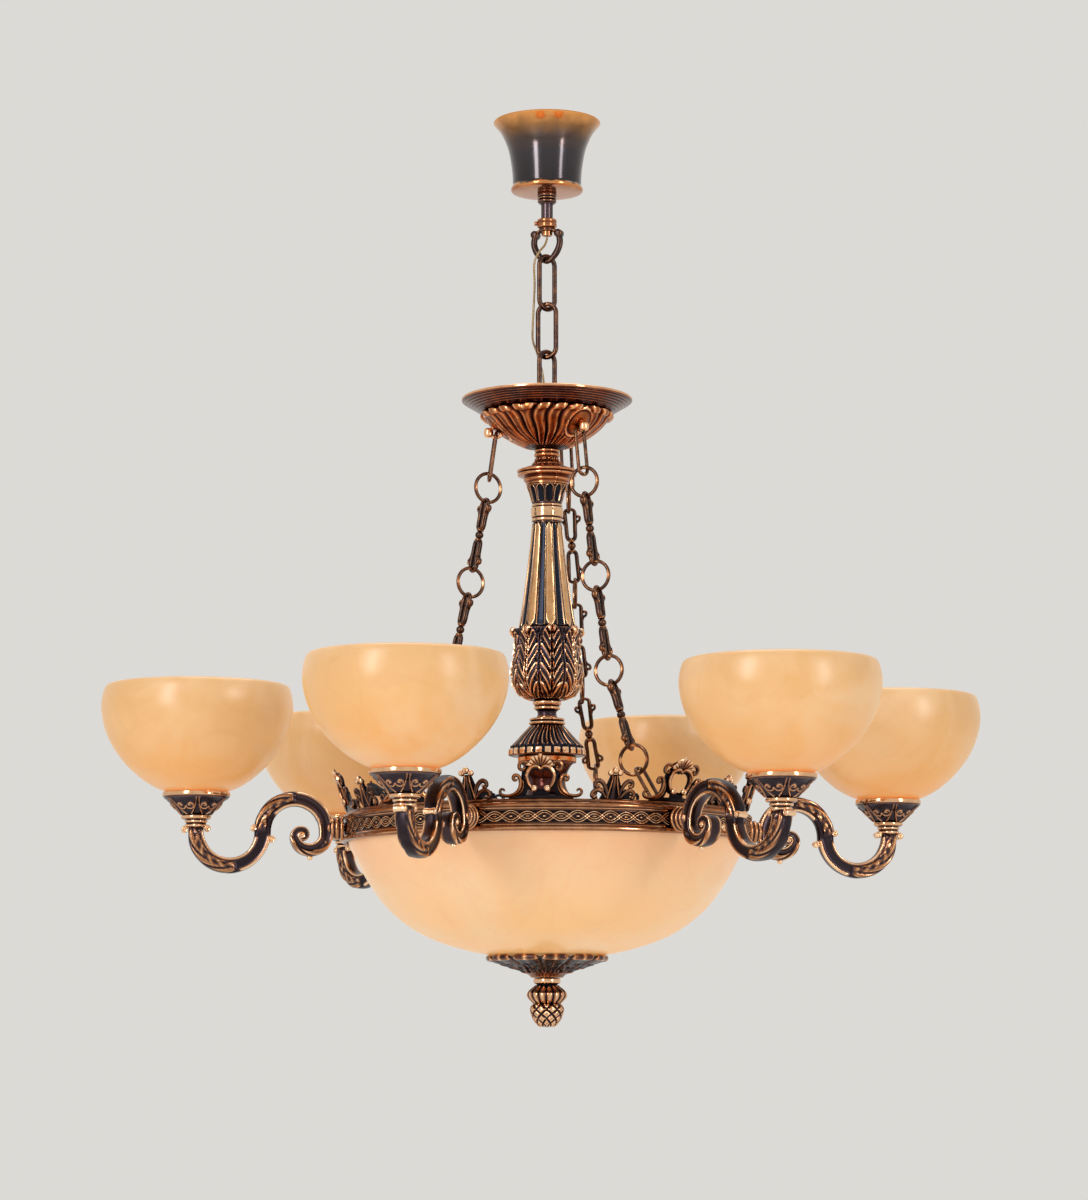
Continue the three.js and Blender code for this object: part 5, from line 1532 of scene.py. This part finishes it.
def cup_relief(drop, turn, radius):
    """Mirrored C-scrolls that curl in on themselves, with a leaf between each two pairs."""
    phase = repeat(turn, cup_scrolls)
    half = math.pi / cup_scrolls * radius
    across = np.abs(phase) * half
    edge = (1 - np.abs(phase)) * half
    along = (drop - cup_scroll_drop) * 1.15
    aside = across - 0.42 * half
    away = np.sqrt(aside ** 2 + along ** 2)
    curl = np.mod(np.arctan2(along, -aside), 2 * math.pi)
    reach = cup_scroll_radius * (1 - 0.11 * curl) * radius / 30
    scroll_line = bump(away - reach, 1.25) + bump(away, 1.7)
    leaf_line = bump(edge - 1.6 - 0.014 * np.clip(along + 7, 0, 20) ** 2, 1.1)
    lines = np.clip(np.maximum(scroll_line, leaf_line), 0, 1)
    inside = window(drop, *cup_dark_drops, 1.2)
    return 1.9 * lines * inside, 0.5 + inside * (0.6 * lines - 0.4)


cup_top, cup_bottom = heights("shade_cup_1")
cup_patina = patina("cup_bronze", "#3a3238", "#54454a", "#bd845b", "#ffcf9f", (0.3, 0.12))
cup = turned("cup", outlined("shade_cup_1", cup_radius, cup_shares), 192, 0.62, relief=cup_relief,
             inner=[(5.5, cup_bottom), (5.5, cup_top - 3), (33, cup_top - 3), (33, cup_top)], rounds=2)
cup_bands = [(cup_top + 1, cup_top - 5.2), (cup_bottom + 4.6, cup_bottom + 0.8)]
cup = moved(weathered(cup, lifted=0.8, bands=cup_bands), x=arm_reach)
copied_round(cup, cup_patina, arm_angles, "shade_saucer", "shade_cup")


# Shades: six bowls turned from alabaster and polished, warm and faintly veined, each lit by its own bulb.
shade_radius = 104.5
shade_wall = 8
shade_hole = 8
shade_glow = 0.3
# Tones from bottom to top: the stone's own colour with painted glow, deepest low down and darker on top.
shade_tones_and_painted_glow = ["#f3ad66", "#ecae69", "#e0ad71", "#d5a873"]
shade_shares = [
    (0.89, 0.004), (0.915, 0), (0.94, 0.004), (0.962, 0.03), (0.985, 0.1), (0.998, 0.19), (0.985, 0.31),
    (0.935, 0.46), (0.85, 0.6), (0.72, 0.745), (0.56, 0.868), (0.44, 0.93), (0.37, 0.958), (0.325, 0.968),
    (0.31, 0.985), (0.3, 1), (0.2, 1), (0.08, 1),
]


def alabaster(name, top, bottom, level, tones):
    """Alabaster: translucent honey-coloured stone, cloudy, with faint brown veins and specks and a soft
    polish. Its colour runs by height over the stone's own tone: more orange low down as painted glow of the
    bulb, and darker on top as painted shade against the top lamp. The emission is painted glow as well."""
    material, tree, place = blank_material(name)
    up = node(tree, "ShaderNodeSeparateXYZ", {0: place}).outputs["Z"]
    drift = reckoned(tree, "MULTIPLY_ADD", noise(tree, place, 111, 5.0, 0.8), 0.035, up)
    height = ranged(tree, drift, 0.0, 1.0, start=bottom * mm + 0.017, end=top * mm + 0.017)
    # The height ramp is painted light: painted glow low down, painted shade on top, over the stone's tone.
    tint_and_painted_glow = toned(tree, height, *zip((0, 0.2, 0.55, 1), tones))
    milk = ranged(tree, noise(tree, place, 91, 2.0, 0.8), 0.0, 0.34, start=0.42, end=0.7)
    cloudy = node(tree, "ShaderNodeMix", {"Factor": milk, "A": tint_and_painted_glow, "B": linear("#f0d1ab")},
                  data_type="RGBA")
    off = reckoned(tree, "ABSOLUTE", reckoned(tree, "SUBTRACT", noise(tree, place, 167, 4.0, 2.2), 0.5))
    vein = ranged(tree, off, 0.06, 0.0, end=0.03)
    speck = ranged(tree, noise(tree, place, 2.38), 0.0, 0.16, start=0.7, end=0.8)
    marks = reckoned(tree, "MAXIMUM", vein, speck)
    veined = node(tree, "ShaderNodeMix", {"Factor": marks, "A": cloudy.outputs["Result"],
                                          "B": linear("#b4763f")}, data_type="RGBA")
    stone = veined.outputs["Result"]
    return finished(material, {
        "Base Color": stone, "Emission Color": stone, "Emission Strength": level, "Roughness": 0.3,
        "IOR": 1.52, "Subsurface Weight": 0.25, "Subsurface Radius": (1.0, 0.6, 0.3),
        "Subsurface Scale": 0.006,
    })


shade_top, shade_bottom = heights("shade_1")
shade_outline = outlined("shade_1", shade_radius, shade_shares)
shade_inner = within(shade_outline[:-3], shade_wall)
shade_inner = shade_inner[shade_inner[:, 0] > 24]
shade = turned("shade", shade_outline, 120, 3.0, inner=[
    (shade_hole, shade_bottom), (shade_hole, shade_bottom + shade_wall), (24, shade_bottom + shade_wall),
] + [tuple(p) for p in shade_inner[:-6:2]] + [(shade_outline[0][0] - 1.6, shade_top - 1.6)], rounds=2)
shade_stone = alabaster("polished_shade_alabaster", shade_top, shade_bottom, shade_glow, shade_tones_and_painted_glow)
copied_round(moved(shade, x=arm_reach), shade_stone, arm_angles, "alabaster_shade", "shade")


# Lampholders: six glazed porcelain holders, each on a threaded nipple, with a flange that clamps the shade.
def glazed_porcelain():
    """White glazed porcelain: cool white, very glossy, with a faint ripple in the glaze."""
    material, tree, place = blank_material("glazed_porcelain")
    ripple = noise(tree, place, 5.56)
    colour = toned(tree, ripple, (0, "#dcd8cc"), (1, "#eae7dd"))
    wave = node(tree, "ShaderNodeBump", {"Height": ripple, "Strength": 0.1, "Distance": 0.2 * mm})
    return finished(material, {"Base Color": colour, "Roughness": 0.15, "Normal": wave.outputs["Normal"]})


porcelain = glazed_porcelain()
for i in range(arm_count):
    source = f"lampholder_{i + 1}"
    placed(softened(f"porcelain_holder_{i + 1}", source, 0.4), porcelain, "light", source)


# Bulbs: opal glass bulbs, one upright in each shade and two that lie back to back in the bowl.
bulb_radius = 22.5
bowl_bulb_reach = 19.4
bowl_bulb_turns = {"bowl_bulb_1": 30, "bowl_bulb_2": 210}
bulb_shares = [
    (0.01, 0), (0.3, 0.012), (0.62, 0.06), (0.88, 0.15), (1, 0.29), (0.94, 0.43), (0.75, 0.57), (0.52, 0.68),
    (0.38, 0.76), (0.31, 0.8), (0.298, 0.81), (0.298, 1), (0.01, 1),
]


def opal_glass():
    """Opal glass lit from inside: warm white, faintly mottled."""
    material, tree, place = blank_material("lit_opal_glass")
    colour = toned(tree, noise(tree, place, 11.1), (0, "#f2e3c6"), (1, "#fbf1dd"))
    return finished(material, {"Base Color": colour, "Roughness": 0.25, "Emission Color": colour,
                               "Emission Strength": 0.6})


opal = opal_glass()
bulb_top, bulb_foot = heights("bulb_1")
bulb_outline = [(r * bulb_radius, s * (bulb_foot - bulb_top)) for r, s in bulb_shares]
for name in [f"bulb_{i + 1}" for i in range(arm_count)] + list(bowl_bulb_turns):
    low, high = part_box(name)
    middle = (low + high) / 2 / mm
    glass = turned(f"lit_{name}", bulb_outline, 32, 1.6, rounds=2)
    if name in bowl_bulb_turns:
        moved(glass, z=bowl_bulb_reach + bulb_top - bulb_foot)
        moved(swung(swung(glass, 90, "Y"), bowl_bulb_turns[name]), z=middle.z)
    else:
        moved(glass, middle.x, middle.y, high.z / mm)
    placed(glass, opal, "light", name)


# Lamp cluster: a porcelain body on the rod inside the bowl, with a socket on each side.
placed(softened("porcelain_cluster", "lamp_cluster", 0.5), porcelain, "light", "lamp_cluster")


# Bowl: one large dish turned from alabaster, held between the ring's lip and the rosette.
bowl_radius = 218
bowl_wall = 10
bowl_hole = 8
bowl_glow = 0.34
# Tones from bottom to top: the stone's own colour with painted glow, deepest low down and darker on top.
bowl_tones_and_painted_glow = ["#fabd76", "#f8c385", "#eec08f", "#e9b183"]
bowl_shares = [
    (0.965, 0.002), (0.982, 0), (0.997, 0.012), (1, 0.05), (0.985, 0.11), (0.951, 0.216), (0.915, 0.33),
    (0.87, 0.445), (0.82, 0.555), (0.755, 0.66), (0.66, 0.775), (0.54, 0.866), (0.42, 0.925), (0.3, 0.966),
    (0.18, 0.99), (0.1, 1), (0.04, 1),
]
bowl_top, bowl_bottom = heights("bowl")
bowl_outline = outlined("bowl", bowl_radius, bowl_shares)
bowl_inner = within(bowl_outline[:-2], bowl_wall)
bowl_inner = bowl_inner[bowl_inner[:, 0] > 40]
bowl = turned("alabaster_bowl", bowl_outline, 168, 3.6, inner=[
    (bowl_hole, bowl_bottom), (bowl_hole, bowl_bottom + bowl_wall), (36, bowl_bottom + bowl_wall + 0.6),
] + [tuple(p) for p in bowl_inner[:-5:2]] + [(bowl_outline[0][0] - 2, bowl_top - 2)], rounds=2)
bowl_stone = alabaster("polished_bowl_alabaster", bowl_top, bowl_bottom, bowl_glow, bowl_tones_and_painted_glow)
placed(bowl, bowl_stone, "light", "bowl")


# Rosette: a cast brass flower of twelve ribbed leaves under the bowl, with their rims rubbed bright.
rosette_radius = 66.5
rosette_high = -938.75
rosette_leaves = 12
rosette_shares = [
    (0.62, 0.03), (0.72, -0.05), (0.85, -0.12), (0.95, -0.15), (0.99, -0.12), (1, -0.06), (0.985, 0.02),
    (0.94, 0.1), (0.85, 0.22), (0.72, 0.34), (0.55, 0.5), (0.42, 0.64), (0.33, 0.8), (0.28, 0.92), (0.26, 1),
]


def rosette_relief(drop, turn, radius):
    """Leaves that run out to scalloped tips, each with a midrib and slanted veins."""
    across = repeat(turn, rosette_leaves)
    side = np.abs(across)
    share = np.clip(radius / rosette_radius, 0, 1)
    body = np.clip((0.92 - side) / 0.3, 0, 1) ** 0.6
    veins = 0.3 * np.cos(2 * math.pi * (share * 5 - side * 1.1))
    rib = 0.7 * bump(side, 0.1)
    under = (drop > 5.2) * 1.0
    tip = 1.4 * bump(share - 0.97, 0.035) * body
    inside = window(share, 0.36, 1.2, 0.06)
    edge = bump(side - 0.78, 0.1)
    shine = 0.15 + inside * (0.5 * edge + 0.5 * bump(side, 0.12) + 0.3 * tip) + 0.5 * (1 - inside)
    return (2.2 * body * (0.75 + veins * under) + rib * under + tip - 1.6) * inside, shine


rosette_bottom = heights("rosette")[1]
rosette_tall = rosette_high - rosette_bottom
rosette_outline = [(r * rosette_radius, rosette_high - s * rosette_tall) for r, s in rosette_shares]
rosette_inside = [(bore_radius, rosette_bottom), (bore_radius, rosette_high), (33, rosette_high)]
rosette = turned("leaf_rosette", rosette_outline, 288, 0.64, relief=rosette_relief, inner=rosette_inside,
                 rounds=2)
placed(weathered(rosette, lifted=0.7), vase_patina, "light", "rosette")


# Finial: cast brass with a gilt ring, a gadrooned knob and a pinecone of lozenge scales, screwed on the rod.
finial_radius = 21
finial_gadroons = 16
cone_scales = 9
cone_drops = (29.5, 52)
cone_scale_height = 4.8
knob_drops = (8.2, 27.5)
finial_shares = [
    (0.4, 0), (0.68, 0.005), (0.71, 0.03), (0.71, 0.09), (0.66, 0.115), (0.55, 0.125), (0.53, 0.15),
    (0.62, 0.19), (0.84, 0.25), (0.98, 0.31), (1, 0.36), (0.9, 0.42), (0.74, 0.48), (0.62, 0.53),
    (0.6, 0.545), (0.7, 0.56), (0.8, 0.6), (0.81, 0.65), (0.77, 0.73), (0.66, 0.83), (0.48, 0.93),
    (0.25, 0.985), (0.01, 1),
]


def finial_relief(drop, turn, radius):
    """Round gadroons on the knob and rows of pointed scales on the cone."""
    gadroon = np.abs(np.cos(finial_gadroons * turn / 2)) ** 0.7 * window(drop, *knob_drops, 1.5)
    down = (drop - cone_drops[0]) / cone_scale_height
    around = turn * cone_scales / (2 * math.pi)
    one = np.abs(np.mod(around + down / 2, 1) - 0.5)
    other = np.abs(np.mod(around - down / 2, 1) - 0.5)
    lozenge = np.clip(np.minimum(0.5 - one, 0.5 - other) * 4, 0, 1) ** 0.7
    scales = window(drop, *cone_drops, 1)
    on_knob = window(drop, knob_drops[0] + 0.8, knob_drops[1] - 0.5, 2)
    shine = 0.12 + 0.75 * gadroon * on_knob + 0.7 * lozenge * scales
    return 1.5 * gadroon + 1.9 * lozenge * scales, shine


finial = turned("pinecone_finial", outlined("finial", finial_radius, finial_shares), 192, 0.4,
                relief=finial_relief, rounds=2)
finial_top = heights("finial")[0]
finial_ring = [(finial_top + 1, finial_top - 6)]
placed(weathered(finial, lifted=0.8, bands=finial_ring), vase_patina, "finial", "finial")


# Side chains: three chains of round rings, plain ovals and pinched lyre links with a bead, all cast and
# bent brass. Each hangs in a curve from an eye on the boss to an eye on the spider.
side_wire = 4
side_play = 0.7
side_ring_radius = 16.1
side_oval_width = 12
side_lyre_width = 12.6
side_twist = 24
ring_hold = 0.9
eye_inset = 23.7
eye_rise = 10.4
side_chain_shares = [(0, 0), (0.063, 0.139), (0.216, 0.397), (0.394, 0.654), (0.723, 0.897), (1, 1)]


def leaning(piece, lean, x, z, turn=90):
    """Turns a hanging link about its own length, leans it outward and puts it in its place."""
    return moved(swung(swung(piece, turn), -math.degrees(lean), "Y"), x=x, z=z)


def lyre_link(length):
    """Two long loops that close round at a beaded waist, with squarish curled shoulders. It hangs from the
    origin in the XZ plane, and is deeper than its bars are thick."""
    half = side_lyre_width / 2
    middle = -length / 2
    end = length / 2
    loop = [(0.6, 6.6), (half * 0.55, 7.8), (half * 0.74, 11.6), (half * 0.76, 18), (half * 0.86, end - 9),
            (half * 0.8, end - 2.4), (0, end)]
    loop += [(-x, z) for x, z in loop[-2::-1]]
    curl = [(half * 0.9, end - 19), (half + 1.2, end - 15), (half + 4, end - 13.2), (half + 4.8, end - 9.8),
            (half + 2.6, end - 8.4), (half + 1.6, end - 10.4)]
    forms = []
    for way in (-1, 1):
        line = through([(x, 0, middle + way * z) for x, z in loop], 5)
        inward = end - np.abs(line[:, 2] - middle)
        thick = np.clip(3.4 + inward * 0.25, 3.4, 4.8)
        depth = np.clip(3.4 + inward * 0.35, 3.4, 6.6)
        forms.append(tube("loop", line, np.column_stack([thick, depth]), 10))
        for side in (-1, 1):
            line = through([(side * x, 0, middle + way * z) for x, z in curl], 5)
            size = np.linspace(3.4, 2.6, len(line))
            forms.append(tube("curl", line, np.column_stack([size, size * 1.9]), 8))
        collar = turned("collar", [(0.3, 1.5), (3.8, 1.3), (4.3, 0), (3.8, -1.3), (0.3, -1.5)], 20, 0.5)
        forms.append(moved(collar, z=middle + way * 5.6))
    bead = turned("bead", [
        (0.3, 4.4), (2.6, 4), (4.2, 2.2), (4.8, 0), (4.2, -2.2), (2.6, -4), (0.3, -4.4),
    ], 24, 0.6)
    return joined("lyre", forms + [moved(bead, z=middle)])


hook_height = boss_top - hook_drop
chain_out = ring_inner_radius - eye_inset - hook_reach
chain_down = hook_height - (ring_top + eye_rise)
places = [(hook_reach + out * chain_out, hook_height - down * chain_down) for out, down in side_chain_shares]
hold = side_wire + side_play
in_ring = side_ring_radius - side_wire * ring_hold
links = []
for i in range(len(places) - 1):
    (x, z), (next_x, next_z) = places[i], places[i + 1]
    lean = math.atan2(next_x - x, z - next_z)
    pitch = math.hypot(next_x - x, z - next_z)
    last = i == len(places) - 2
    start = -hold if i == 0 else in_ring
    length = pitch - in_ring + hold if i == 0 or last else pitch - 2 * in_ring
    if i == 0 or last:
        link = wire_piece("oval", length + side_wire, side_oval_width, side_wire, antique_bronze)
    else:
        link = lyre_link(length)
    twist = 90 if i == 0 or last else 90 + side_twist
    links.append(leaning(link, lean, x + math.sin(lean) * start, z - math.cos(lean) * start, turn=twist))
    if i:
        ring = wire_piece("ring", 2 * side_ring_radius, 2 * side_ring_radius, side_wire, antique_bronze)
        links.append(leaning(ring, 0, x, z + side_ring_radius, turn=side_twist))
side_chain = weathered(joined("chain", links), shift=-0.1)
copied_round(side_chain, antique_bronze, chain_angles, "linked_chain", "side_chain",
             bodies=[f"side_chain_{i + 1}" for i in range(3)])


size = {"cad": [list(v) for v in cad_box], "visual": [list(v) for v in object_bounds()]}
